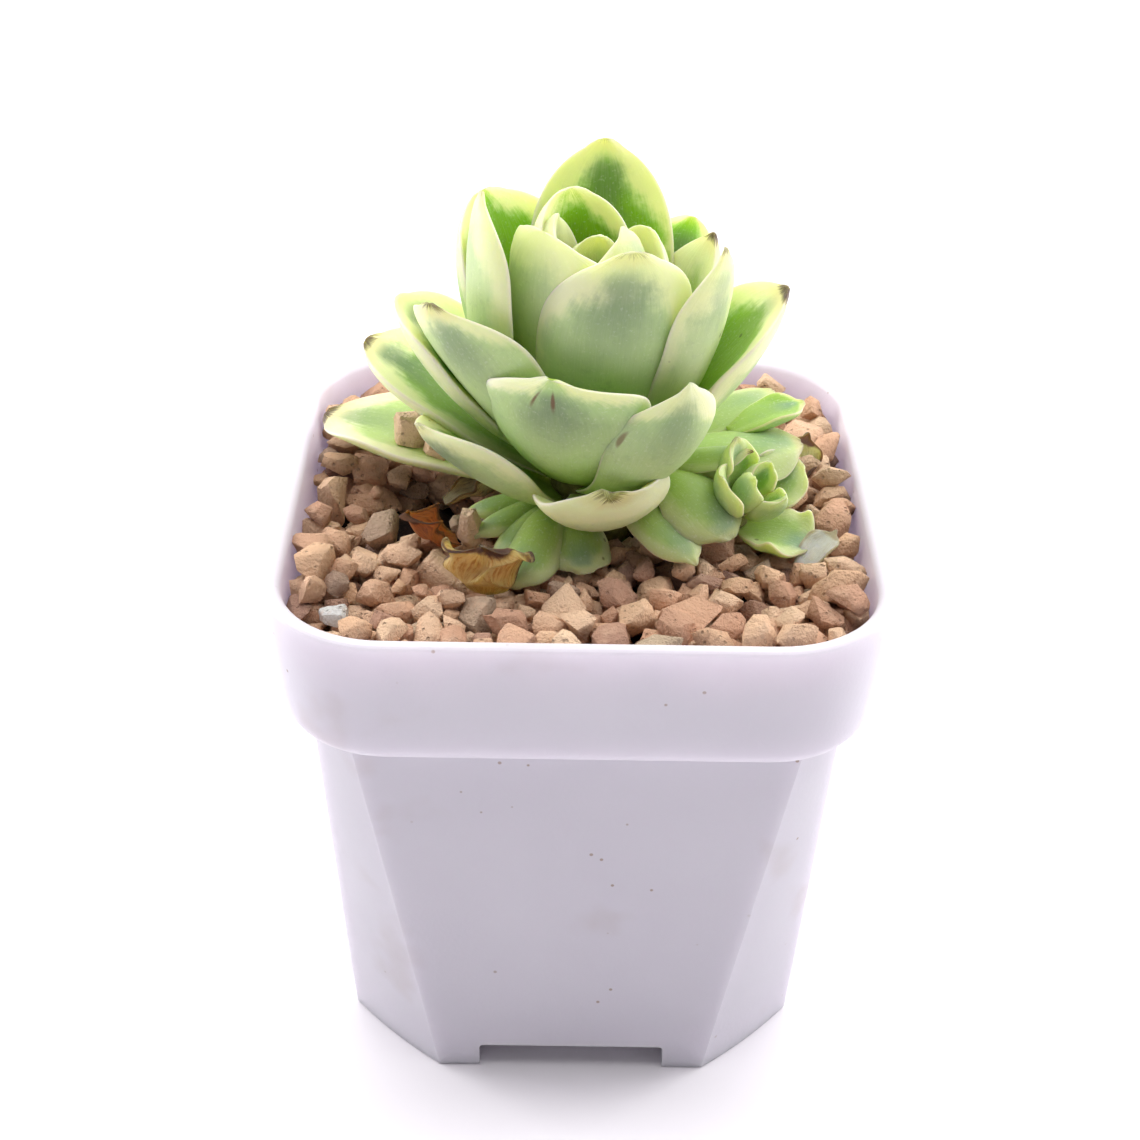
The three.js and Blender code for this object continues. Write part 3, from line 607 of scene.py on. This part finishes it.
def ring_point(share, half, ridge, roundness):
    """Point of a cut-cornered square ring, share going once round, counterclockwise from -Y."""
    side = int(share * 4 + 1e-6) % 4
    along = share * 4 - int(share * 4 + 1e-6)
    straight = SIDE_STEPS / (SIDE_STEPS + CORNER_STEPS)
    if along < straight:
        point = Vector((ridge * (2 * along / straight - 1), -half))
    else:
        bend = (along - straight) / (1 - straight)
        arc = Vector((math.sin(bend * math.pi / 2), -math.cos(bend * math.pi / 2)))
        chamfer = Vector((bend, bend - 1))
        point = Vector((ridge, -ridge)) + chamfer.lerp(arc, roundness) * (half - ridge)
    point.rotate(Matrix.Rotation(side * math.pi / 2, 2))
    return point


def square_lathe(rings):
    """A closed shape whose rings are (half width, ridge, roundness, height), from end to end."""
    steps = 4 * (CORNER_STEPS + SIDE_STEPS)
    bm = bmesh.new()
    made = bmesh.ops.create_circle(bm, segments=steps, radius=1, cap_ends=False)
    ring = sorted(made["verts"], key=lambda v: math.atan2(v.co.y, v.co.x))
    for index, (half, ridge, roundness, height) in enumerate(rings):
        if index:
            order = {v: k for k, v in enumerate(ring)}
            edges = [e for e in bm.edges if e.verts[0] in order and e.verts[1] in order]
            fresh = only(BMVert, bmesh.ops.extrude_edge_only(bm, edges=edges)["geom"])
            below = {v: order[o] for v in fresh for e in v.link_edges
                     for o in [e.other_vert(v)] if o in order}
            ring = sorted(fresh, key=below.get)
        for k, vert in enumerate(ring):
            point = ring_point(k / steps, half, ridge, roundness)
            vert.co = (point.x, point.y, height)
    bmesh.ops.holes_fill(bm, edges=[e for e in bm.edges if e.is_boundary], sides=0)
    bmesh.ops.recalc_face_normals(bm, faces=bm.faces)
    return bm


def rim_ring(height, inset=0.0):
    share = (height - RIM_BOTTOM) / RIM_DEPTH
    return (RIM_LOW_HALF + RIM_DRAFT * share - inset, RIM_RIDGE, ROUND, height)


def body_ring(height, inset=0.0):
    share = height / RIM_BOTTOM
    half = FOOT_HALF_WIDTH + (BODY_HALF - FOOT_HALF_WIDTH) * share - inset
    return (half, FOOT_RIDGE + (BODY_RIDGE - FOOT_RIDGE) * share, SOFT_CHAMFER, height)


def inner_ring(height, gap=0.0):
    """The pot's inner wall at a height, brought in by a gap."""
    wall_ring = rim_ring if height >= RIM_BOTTOM + WALL else body_ring
    return wall_ring(height, WALL + gap)


def quarter_round(ring_at, start, radius, upwards):
    """Rings that round an edge, from the wall on, upwards being 1 or -1."""
    rings = []
    for step in range(ROUND_STEPS + 1):
        angle = math.pi / 2 * step / ROUND_STEPS
        inset = radius * (1 - math.cos(angle))
        rings.append(ring_at(start + radius * math.sin(angle) * upwards, inset))
    return rings


def pot_rings():
    """From the middle of the floor's underside out, up the outside and down the inside."""
    top = POT_HEIGHT - TOP_ROUND
    outer_top = quarter_round(rim_ring, top, TOP_ROUND, 1)
    inner_top = quarter_round(lambda height, inset: inner_ring(height, -inset), top, TOP_ROUND, 1)
    outer_low = quarter_round(rim_ring, RIM_BOTTOM + LOW_ROUND, LOW_ROUND, -1)
    return [
        (*CENTRE, FLOOR_UNDERSIDE), *[inner_ring(h) for h in (FLOOR_UNDERSIDE, FOOT_EDGE, 0)],
        body_ring(0, FOOT_BEVEL), *[body_ring(h) for h in (FOOT_BEVEL, *BODY_LEVELS)],
        body_ring(RIM_BOTTOM - STEP_BEVEL), rim_ring(RIM_BOTTOM, BODY_STEP - STEP_BEVEL),
        *outer_low[::-1], *[rim_ring(h) for h in RIM_LEVELS], *outer_top, *inner_top[::-1],
        *[inner_ring(h) for h in (*INNER_RIM_LEVELS, RIM_BOTTOM + WALL, RIM_BOTTOM)],
        *[inner_ring(h) for h in (*INNER_BODY_LEVELS, FLOOR_TOP)], (*CENTRE, FLOOR_TOP),
    ]


def cut_away(piece, cutters):
    """Cuts each cutter's shape out of the piece, then removes the cutters."""
    for cutter in cutters:
        cut = piece.modifiers.new("cut", "BOOLEAN")
        cut.operation = "DIFFERENCE"
        cut.solver = "EXACT"
        cut.object = cutter
    bpy.context.view_layer.update()
    evaluated = piece.evaluated_get(bpy.context.evaluated_depsgraph_get())
    cut_mesh = bpy.data.meshes.new_from_object(evaluated)
    piece.modifiers.clear()
    piece.data = cut_mesh
    for cutter in cutters:
        bpy.data.objects.remove(cutter)


def pot_cutters():
    """Two bars that cut the foot's notches, and five rods that cut the drain holes."""
    cutters = []
    across = 2 * NOTCH_HALF_WIDTH
    for length, width in ((CUTTER_LENGTH, across), (across, CUTTER_LENGTH)):
        bm = bmesh.new()
        bmesh.ops.create_cube(bm, size=1)
        bmesh.ops.scale(bm, vec=(length, width, 2 * NOTCH_HEIGHT), verts=bm.verts)
        level = [e for e in bm.edges if abs(e.verts[0].co.z - e.verts[1].co.z) < 1e-6]
        bmesh.ops.bevel(bm, geom=level, offset=0.5, segments=3, profile=0.5, affect="EDGES",
                        material=-1)
        cutters.append(mesh_object("notch_cutter", bm))
    for x, y in ((0, 0), (1, 0), (0, 1), (-1, 0), (0, -1)):
        bm = bmesh.new()
        bmesh.ops.create_cone(bm, segments=32, radius1=DRAIN_RADIUS, radius2=DRAIN_RADIUS, depth=8,
                              cap_ends=True)
        bmesh.ops.translate(bm, vec=(x * DRAIN_SPACING, y * DRAIN_SPACING, FLOOR_TOP), verts=bm.verts)
        cutters.append(mesh_object("drain_cutter", bm))
    return cutters


def pot_plastic():
    sh = Shader("pot_plastic")
    place = sh.place()
    height = sh.parts(place)[2]
    smudge = sh.noise(place, 45.0, 4.0, 0.6)
    peel = sh.noise(place, 1800.0, 2.0, 0.5)
    dust = 1.0 - sh.rise(sh.cells(place, 330.0), 0.05, 0.09)
    dusty = dust * sh.rise(sh.noise(place, 90.0), 0.5, 0.6)
    color = sh.mix(srgb(211, 206, 217), srgb(202, 197, 209), smudge)
    stains = sh.rise(sh.noise(place, 65.0, 3.0, 0.5), 0.62, 0.74)
    color = sh.mix(color, srgb(176, 160, 150), stains * 0.22)
    color = sh.mix(color, srgb(150, 128, 112), dusty * 0.8)
    on_rim = sh.rise(height, (POT_HEIGHT - 0.5) * MM, (POT_HEIGHT + 0.2) * MM)
    color = sh.mix(color, srgb(214, 205, 208), on_rim * sh.rise(smudge, 0.45, 0.7) * 0.4)
    return sh.finish(Base_Color=color, Roughness=0.34 + smudge * 0.22 + dusty * 0.3,
                     Normal=sh.bump(peel + smudge * 2.0, 0.00006, 0.4), Specular_IOR_Level=0.45,
                     Subsurface_Weight=0.8, Subsurface_Radius=(1.0, 0.9, 0.95), Subsurface_Scale=0.006)


def add_pot():
    bm = square_lathe(pot_rings())
    piece = new_piece("pot_shell", bm, pot_plastic(), "pot_plastic", "pot")
    cut_away(piece, pot_cutters())
    bm = bmesh.new()
    bm.from_mesh(piece.data)
    bmesh.ops.remove_doubles(bm, verts=bm.verts, dist=1e-7)
    shade(bm, POT_CREASE)
    bm.to_mesh(piece.data)
    bm.free()


# ---- Potting mix ----
SOIL_SPOT = Vector((-18.4, 1.2))  # where the mix shows between the stones
SPOT_HALF = Vector((5.0, 4.5))
SOIL_MOUND = GRAVEL_TOP - MIX_TOP - 0.6
MIX_GAP = 0.3  # between the mix and the pot
MIX_RINGS = 40
LUMP_SCALE = 0.7
LUMP_HEIGHT = 0.5


def off_spot(x, y):
    """How far places are from the bare spot: 0 in its middle, 1 at its edge."""
    return ((x - SOIL_SPOT.x) / SPOT_HALF.x) ** 2 + ((y - SOIL_SPOT.y) / SPOT_HALF.y) ** 2


def mound(x, y):
    return SOIL_MOUND * np.exp(-off_spot(x, y))


def potting_mix_material():
    sh = Shader("potting_mix")
    place = sh.place()
    crumbs = sh.noise(place, 900.0, 6.0, 0.75)
    fibres = sh.noise(place, 300.0, 3.0, 0.6)
    earth = sh.ramp(crumbs, (0.3, 18, 13, 12), (0.55, 48, 36, 33), (0.75, 92, 68, 58))
    color = sh.mix(earth, srgb(120, 92, 74), sh.rise(fibres, 0.62, 0.7) * 0.35)
    return sh.finish(Base_Color=color, Roughness=0.95, Normal=sh.bump(crumbs, 0.0012),
                     Specular_IOR_Level=0.2)


def add_potting_mix():
    floor = FLOOR_TOP + MIX_GAP
    levels = (floor, RIM_BOTTOM - MIX_GAP, RIM_BOTTOM + WALL + MIX_GAP)
    half, ridge = inner_ring(MIX_TOP, MIX_GAP)[:2]
    rings = [(*CENTRE, floor), *[inner_ring(h, MIX_GAP) for h in levels]]
    shares = [1 - k / MIX_RINGS for k in range(MIX_RINGS)]
    rings += [(half * s, ridge * s, ROUND, MIX_TOP) for s in shares]
    bm = square_lathe(rings)
    for vert in bm.verts:
        if vert.co.z > MIX_TOP - 0.1 and max(abs(vert.co.x), abs(vert.co.y)) < half - 0.5:
            lumps = noise.fractal(vert.co * LUMP_SCALE, 0.8, 2.0, 4) * LUMP_HEIGHT
            vert.co.z += mound(vert.co.x, vert.co.y) + lumps - 0.3
    shade(bm)
    new_piece("potting_soil", bm, potting_mix_material(), "potting_mix", "potting_mix")


# ---- Stones ----
PROTOTYPES = 28
CUT_REACH = (0.68, 1.0)
GRAIN_CUTS = 10
GRAIN_WEAR = 0.26
GRAIN_ROUGHNESS = 0.2
PEBBLE_CUTS = 14
PEBBLE_WEAR = 0.22
PEBBLE_ROUGHNESS = 0.32


def cut_block(chance, cuts):
    """A block about 2 across with its corners struck off by flat cuts."""
    bm = bmesh.new()
    bmesh.ops.create_cube(bm, size=2)
    for _ in range(cuts):
        normal = Vector([chance.gauss(0, 1) for _ in range(3)]).normalized()
        struck = normal * chance.uniform(*CUT_REACH)
        cut = bmesh.ops.bisect_plane(bm, geom=bm.verts[:] + bm.edges[:] + bm.faces[:], dist=1e-4,
                                     plane_co=struck, plane_no=normal, clear_outer=True)
        rim = only(BMEdge, cut["geom_cut"])
        if rim:
            bmesh.ops.contextual_create(bm, geom=rim)
    bmesh.ops.remove_doubles(bm, verts=bm.verts, dist=0.08)
    return bm


def wear(bm, width, segments):
    """Rounds a block's edges."""
    bmesh.ops.bevel(bm, geom=bm.edges[:], offset=width, segments=segments, profile=0.5, affect="EDGES",
                    clamp_overlap=True, material=-1)
    bmesh.ops.remove_doubles(bm, verts=bm.verts, dist=0.02)


def stone_prototypes(chance):
    """Meshes of worn blocks for the gravel's grains."""
    meshes = []
    for _ in range(PROTOTYPES):
        bm = cut_block(chance, GRAIN_CUTS)
        wear(bm, GRAIN_WEAR, 1)
        shift = Vector([chance.uniform(-50, 50) for _ in range(3)])
        for vert in bm.verts:
            vert.co += GRAIN_ROUGHNESS * noise.noise_vector(vert.co * 1.9 + shift)
        meshes.append(made_mesh("grain", bm))
    return meshes


def stone_material(name, stops):
    """Dry, pitted clay or stone; each stone carries its own tone."""
    sh = Shader(name)
    place = sh.place()
    tone = sh.attribute("stone_tone", NUMBER_OUTPUT)
    mottle = sh.noise(place, 420.0, 4.0, 0.65)
    grain = sh.noise(place, 2300.0, 4.0, 0.7)
    pores = 1.0 - sh.rise(sh.cells(place, 1150.0), 0.12, 0.3)
    pores = pores * sh.rise(sh.noise(place, 500.0), 0.48, 0.6)
    color = sh.ramp(tone, *stops)
    color = sh.mix(color, srgb(240, 202, 172), sh.rise(mottle, 0.5, 0.75) * 0.6)
    color = sh.mix(color, srgb(178, 128, 102), sh.rise(grain, 0.52, 0.8) * 0.35)
    color = sh.mix(color, srgb(120, 86, 70), pores * 0.4)
    relief = grain + mottle * 1.6 - pores * 0.6
    return sh.finish(Base_Color=color, Roughness=0.9, Normal=sh.bump(relief, 0.0007),
                     Specular_IOR_Level=0.2)


GRAVEL_TONES = [(0.0, 248, 200, 162), (0.3, 255, 220, 186), (0.6, 245, 196, 162),
                (0.84, 216, 168, 140), (0.94, 176, 140, 126), (0.98, 212, 188, 160)]


# ---- The gravel's bed: grains are let down one by one, each on what lies there already ----
CELL = 0.4
SPAN = 68.0
BLOCKED = 1e3  # a height that no grain can lie on
BARE = 1.1  # how far out the bare spot reaches
LEAF_REACH = 0.7  # how far round a leaf's points grains stay clear
CLEARANCE = 0.1
MISSES = 60
TRIES = 26
REACH = 33  # how far from the middle grains are let down
GRAVEL_SEED = 20
TYPICAL_GRAIN = 1.45  # half sizes
SMALLEST_GRAIN = 0.8
LARGEST_GRAIN = 2.5
GRAIN_SPREAD = 0.3
GRAVEL_RISE = 1.6
EDGE_RISE = 1.9  # how much higher the gravel lies along the wall
EDGE_ZONE = (23, 31)  # where it rises, from the middle
NESTLE = 0.25  # how far a grain sinks between those below it


class Bed:
    """Heights of the fill under, and of the leaves over, each small square of the pot's opening."""

    def __init__(self):
        axis = (np.arange(int(SPAN / CELL)) + 0.5) * CELL - SPAN / 2
        self.x, self.y = np.meshgrid(axis, axis, indexing="ij")
        self.ground = MIX_TOP + mound(self.x, self.y)
        half, ridge = inner_ring(GRAVEL_TOP)[:2]
        corner = half - ridge
        over_x = np.maximum(np.abs(self.x) - ridge, 0)
        over_y = np.maximum(np.abs(self.y) - ridge, 0)
        self.ground[np.hypot(over_x, over_y) > corner - 0.2] = BLOCKED
        self.ground[off_spot(self.x, self.y) < BARE] = BLOCKED
        self.ceiling = np.full(self.x.shape, BLOCKED)

    def window(self, x, y, reach):
        """The cells within reach of a place."""
        ends = [[int((at + SPAN / 2 + sign * reach) / CELL) for sign in (-1, 1)] for at in (x, y)]
        return tuple(slice(max(low, 0), high + 1) for low, high in ends)

    def keep_clear(self, piece):
        """Keeps grains under, or off, a piece that is there already."""
        world = np.array([v.co for v in piece.data.vertices]) / MM
        for x, y, z in world[world[:, 2] < GRAVEL_TOP + 8]:
            area = self.window(x, y, LEAF_REACH)
            self.ceiling[area] = np.minimum(self.ceiling[area], z - CLEARANCE)

    def settle(self, x, y, half, turn):
        """Height at which a grain comes to rest there, and the height of its top over each cell."""
        area = self.window(x, y, max(half[0], half[1]))
        dx, dy = self.x[area] - x, self.y[area] - y
        u = (dx * math.cos(turn) + dy * math.sin(turn)) / half[0]
        v = (dy * math.cos(turn) - dx * math.sin(turn)) / half[1]
        inside = u * u + v * v < 0.98
        if not inside.any():
            return None
        bulge = half[2] * np.sqrt(np.maximum(1 - u * u - v * v, 0))
        height = (self.ground[area] + bulge * 0.9)[inside].max()
        if height > BLOCKED / 2 or (height + bulge > self.ceiling[area])[inside].any():
            return None
        return height, area, inside, height + bulge


def drop_gravel(bed, chance):
    """Lets grains down until the bed is full; each takes the lowest of several places."""
    grains = []
    misses = 0
    while misses < MISSES:
        size = chance.lognormvariate(math.log(TYPICAL_GRAIN), GRAIN_SPREAD)
        size = min(max(size, SMALLEST_GRAIN), LARGEST_GRAIN)
        half = (size * chance.uniform(1.0, 1.35), size * chance.uniform(0.75, 1.0),
                size * chance.uniform(0.6, 0.9))
        best = None
        for _ in range(TRIES):
            x, y = chance.uniform(-REACH, REACH), chance.uniform(-REACH, REACH)
            turn = chance.uniform(0, math.pi)
            rest = bed.settle(x, y, half, turn)
            edge = smooth_rise(max(abs(x), abs(y)), *EDGE_ZONE)
            level = GRAVEL_TOP + GRAVEL_RISE + EDGE_RISE * edge
            if rest and rest[0] + half[2] * 0.6 < level and (best is None or rest[0] < best[0][0]):
                best = (rest, x, y, turn)
        if best is None:
            misses += 1
            continue
        (height, area, inside, top), x, y, turn = best
        raised = np.maximum(bed.ground[area], top - NESTLE)
        bed.ground[area] = np.where(inside, raised, bed.ground[area])
        grains.append((x, y, height, half, turn))
    return grains


def add_gravel(bed):
    chance = random.Random(GRAVEL_SEED)
    grains = drop_gravel(bed, chance)
    prototypes = stone_prototypes(chance)
    bm = bmesh.new()
    layer = bm.verts.layers.float.new("stone_tone")
    for x, y, height, half, turn in grains:
        before = len(bm.verts)
        bm.from_mesh(chance.choice(prototypes))
        bm.verts.ensure_lookup_table()
        fresh = bm.verts[before:]
        roll = Quaternion([chance.gauss(0, 1) for _ in range(4)]).normalized().to_matrix()
        place = Matrix.Translation((x, y, height)) @ Matrix.Rotation(turn, 4, "Z")
        tone = chance.random()
        for vert in fresh:
            point = roll @ vert.co
            vert.co = place @ Vector((point.x * half[0], point.y * half[1], point.z * half[2]))
            vert[layer] = tone
    bmesh.ops.recalc_face_normals(bm, faces=bm.faces)
    shade(bm, GRAIN_CREASE)
    for mesh in prototypes:
        bpy.data.meshes.remove(mesh)
    material = stone_material("clay_gravel", GRAVEL_TONES)
    new_piece("gravel_grains", bm, material, "clay_gravel", "gravel_bed")


def on_gravel(at, turn):
    """Moves a thing to a place on the gravel, turned by some degrees."""
    spot = Matrix.Translation(Vector(at) + Vector((0, 0, GRAVEL_TOP)))
    return spot @ Matrix.Rotation(math.radians(turn), 4, "Z")


def add_named_stones(bed):
    clay = stone_material("clay_stone", GRAVEL_TONES)
    white = stone_material("pale_stone", [(0.0, 225, 222, 216), (1.0, 246, 244, 240)])
    for index, (node, at, half, turn, tone) in enumerate(STONES):
        chance = random.Random(100 + index)
        bm = cut_block(chance, PEBBLE_CUTS)
        wear(bm, PEBBLE_WEAR, 3)
        layer = bm.verts.layers.float.new("stone_tone")
        place = on_gravel(at, turn)
        shift = Vector((index * 9, 0, 0))
        for vert in bm.verts:
            point = 1.1 * vert.co + PEBBLE_ROUGHNESS * noise.noise_vector(vert.co * 1.5 + shift)
            vert.co = place @ Vector(a * b for a, b in zip(point, half))
            vert[layer] = tone
        bmesh.ops.recalc_face_normals(bm, faces=bm.faces)
        shade(bm, PEBBLE_CREASE)
        name = node.replace("stone", "pebble")
        if node == "white_stone":
            piece = new_piece(name, bm, white, "pale_stone", node)
        else:
            piece = new_piece(name, bm, clay, "clay_gravel", node)
        bed.keep_clear(piece)


# ---- Stems ----
STEM_SIDES = 28
STEM_STEPS = 5


def stem_material():
    sh = Shader("stem")
    bark = sh.noise(sh.place(), 500.0, 5.0, 0.65)
    color = sh.ramp(bark, (0.3, 92, 84, 46), (0.6, 150, 146, 84), (0.8, 178, 172, 120))
    return sh.finish(Base_Color=color, Roughness=0.75, Normal=sh.bump(bark, 0.0006))


def add_stem(name, node, radius, rooted, height, group, material):
    """A round stem, rooted below the crown, whose profile is (share of the radius, height)."""
    bm = bmesh.new()
    profile = [(0.7, -rooted), (1.0, -0.4 * rooted), (1.0, 0.25 * height), (0.6, 0.75 * height),
               (0.3, height)]
    foot = profile[0][0]
    made = bmesh.ops.create_circle(bm, segments=STEM_SIDES, radius=radius, cap_ends=True)["verts"]
    bmesh.ops.translate(bm, vec=(0, 0, -rooted), verts=made)
    bmesh.ops.scale(bm, vec=(foot, foot, 1), verts=made)
    cap = list(bm.faces)
    for (share_a, z_a), (share_b, z_b) in zip(profile, profile[1:]):
        for step in range(1, STEM_STEPS + 1):
            grown = bmesh.ops.extrude_face_region(bm, geom=cap)["geom"]
            cap = only(BMFace, grown)
            top = only(BMVert, grown)
            before = share_a + (share_b - share_a) * (step - 1) / STEM_STEPS
            after = share_a + (share_b - share_a) * step / STEM_STEPS
            bmesh.ops.translate(bm, vec=(0, 0, (z_b - z_a) / STEM_STEPS), verts=top)
            bmesh.ops.scale(bm, vec=(after / before, after / before, 1), verts=top)
    for vert in bm.verts:
        vert.co += 0.25 * noise.noise_vector(vert.co * 0.9) * min(1, radius / 3)
        vert.co = group @ vert.co
    bmesh.ops.recalc_face_normals(bm, faces=bm.faces)
    shade(bm, STEM_CREASE)
    return new_piece(name, bm, material, "stem", node)


# ---- Dry leaves ----
def dry_leaf_material(name, body, streak, edge):
    sh = Shader(name)
    across, along = sh.parts(sh.attribute("leaf_place"))[:2]
    place = sh.place()
    streaks = sh.noise(sh.vector(across * 9.0, along * 2.0, 0.0), 3.0, 5.0, 0.65)
    blotch = sh.noise(place, 500.0, 4.0, 0.6)
    color = sh.mix(body, streak, sh.rise(streaks + (blotch - 0.5) * 0.4, 0.42, 0.68))
    rim = abs(across).math("MAXIMUM", sh.rise(along, 0.45, 1.0)) + (blotch - 0.5) * 0.3
    color = sh.mix(color, edge, sh.rise(rim, 0.8, 0.93))
    return sh.finish(Base_Color=color, Roughness=0.62, Normal=sh.bump(streaks + blotch * 0.5, 0.0006),
                     Subsurface_Weight=0.45, Subsurface_Radius=(1.0, 0.7, 0.3), Subsurface_Scale=0.002)


def add_dry_leaves(bed):
    """Fallen leaves; gravel lies partly over the last two."""
    colors = {
        "dry_cup_leaf": ((200, 122, 62), (150, 82, 40), (72, 44, 32)),
        "dry_papery_leaf": ((240, 204, 130), (204, 150, 72), (92, 62, 52)),
        "dry_pale_leaf": ((206, 190, 150), (150, 128, 92), (110, 84, 60)),
        "half_buried_leaf": ((226, 222, 150), (200, 196, 116), (110, 78, 60)),
        "fallen_pale_leaf": ((250, 244, 228), (236, 226, 200), (216, 198, 164)),
    }
    for index, leaf in enumerate(DRY_LEAVES):
        body, streak, edge = (srgb(*color) for color in colors[leaf["name"]])
        material = dry_leaf_material(leaf["name"].replace("leaf", "paper"), body, streak, edge)
        placing = on_gravel(leaf["at"], leaf["around"])
        bm = leaf_mesh(leaf, DRY_LEAF_THICKNESS, placing, 300 + index)
        name = leaf["name"].replace("_leaf", "_husk")
        piece = new_piece(name, bm, material, "leaf_dry", leaf["name"])
        if leaf["name"] not in ("half_buried_leaf", "fallen_pale_leaf"):
            bed.keep_clear(piece)


# ---- Stage ----
LENS = 70.5
CAMERA_AIM = Vector((-1.0, 0.0, 55.3))  # millimetres, as the distance
CAMERA_DISTANCE = 269.8
CAMERA_ANGLES = (31.86, -0.213, 0.974)  # elevation, azimuth and roll, degrees
FLOOR_HALF_WIDTH = 20  # metres, as the lights' places and sizes
LIGHT_AIM = Vector((0, 0, 0.06))
SIDE_LIGHT_SIZE = 0.5
SIDE_LIGHT_POWER = 4.6
OVERHEAD_POWER = 3.7
OVERHEAD_SPREAD = 95  # degrees
OVERHEAD_TILT = (-25, 3, 0)
ROOM_COLOR = (0.98, 0.97, 1.0, 1)
ROOM_LIGHT = 0.3


def add_camera():
    data = bpy.data.cameras.new("camera")
    data.sensor_width = 36
    data.lens = LENS
    data.clip_start = 0.01
    camera = put_in_scene("camera", data)
    elevation, azimuth, roll = (math.radians(a) for a in CAMERA_ANGLES)
    away = Vector((math.sin(azimuth) * math.cos(elevation), -math.cos(azimuth) * math.cos(elevation),
                   math.sin(elevation)))
    camera.location = CAMERA_AIM * MM + away * (CAMERA_DISTANCE * MM)
    camera.rotation_mode = "QUATERNION"
    camera.rotation_quaternion = (-away).to_track_quat("-Z", "Y") @ Quaternion((0, 0, 1), roll)
    bpy.context.scene.camera = camera


def add_side_light(name, place):
    data = bpy.data.lights.new(name, "AREA")
    data.shape = "DISK"
    data.size = SIDE_LIGHT_SIZE
    data.energy = SIDE_LIGHT_POWER
    light = put_in_scene(name, data)
    light.location = place
    light.rotation_mode = "QUATERNION"
    light.rotation_quaternion = (LIGHT_AIM - light.location).to_track_quat("-Z", "Y")


def add_overhead_light():
    data = bpy.data.lights.new("overhead", "SUN")
    data.energy = OVERHEAD_POWER
    data.angle = math.radians(OVERHEAD_SPREAD)
    put_in_scene("overhead", data).rotation_euler = [math.radians(a) for a in OVERHEAD_TILT]


def add_floor():
    sh = Shader("studio_floor")
    soft = sh.noise(sh.place(), 6.0, 2.0, 0.5)
    color = sh.mix(srgb(250, 246, 248), srgb(246, 243, 247), soft)
    bm = bmesh.new()
    bmesh.ops.create_grid(bm, x_segments=4, y_segments=4, size=FLOOR_HALF_WIDTH)
    floor = put_in_scene("floor", made_mesh("floor", bm))
    floor.data.materials.append(sh.finish(Base_Color=color, Roughness=0.6 + soft * 0.1,
                                          Specular_IOR_Level=0.2))


def add_stage():
    add_floor()
    world = bpy.data.worlds.new("studio")
    world.use_nodes = True
    background = world.node_tree.nodes["Background"]
    background.inputs["Color"].default_value = ROOM_COLOR
    background.inputs["Strength"].default_value = ROOM_LIGHT
    bpy.context.scene.world = world
    bpy.context.scene.view_settings.view_transform = "Standard"
    add_overhead_light()
    add_side_light("left_soft", (-0.75, 0.3, 0.3))
    add_side_light("right_soft", (0.75, 0.3, 0.3))


# ---- Assembly ----
def build():
    add_camera()
    add_stage()
    bed = Bed()

    crown = Matrix.Translation((CROWN_SHIFT, 0, CROWN))
    plant = Matrix.Translation((0, 0, CROWN))
    about_y, about_x = (math.radians(a) for a in RIGHT_OFFSET_TILT)
    lean = Matrix.Rotation(about_y, 4, "Y") @ Matrix.Rotation(about_x, 4, "X")
    right_offset = plant @ Matrix.Translation(RIGHT_OFFSET_AT) @ lean
    front_offset = plant @ Matrix.Translation(FRONT_OFFSET_AT)

    variegated = leaf_material(
        "variegated_leaf", inner=(138, 186, 20), outer=(170, 200, 128), bloom=(104, 130, 88),
        margin=(232, 238, 180), edge=(248, 236, 214), base=(174, 206, 90))
    green = leaf_material(
        "green_leaf", inner=(148, 182, 78), outer=(154, 182, 112), bloom=(118, 150, 116),
        margin=(190, 206, 138), edge=(232, 214, 186), base=(166, 198, 84))
    plants = add_leaves(MAIN_LEAVES, STEM_RADIUS, LEAF_THICKNESS, crown, variegated, "leaf_variegated")
    plants += add_leaves(SIDE_LEAVES, STEM_RADIUS, SMALL_LEAF_THICKNESS, plant, green, "leaf_green")
    for leaves, group in ((RIGHT_OFFSET_LEAVES, right_offset), (FRONT_OFFSET_LEAVES, front_offset)):
        plants += add_leaves(leaves, OFFSET_STEM_RADIUS, SMALL_LEAF_THICKNESS, group, green,
                             "leaf_green", SMALL_LEAF_RINGS, SMALL_LEAF_RINGS)
    bark = stem_material()
    plants += [
        add_stem("main_stalk", "main_stem", STEM_RADIUS, STEM_ROOTED, STEM_HEIGHT, crown, bark),
        add_stem("right_offset_stalk", "right_offset_stem", OFFSET_STEM_RADIUS, OFFSET_STEM_ROOTED,
                 OFFSET_STEM_HEIGHT, right_offset, bark),
    ]
    for piece in plants:
        bed.keep_clear(piece)
    add_dry_leaves(bed)
    add_pot()
    add_potting_mix()
    add_named_stones(bed)
    add_gravel(bed)


build()

bpy.context.view_layer.update()
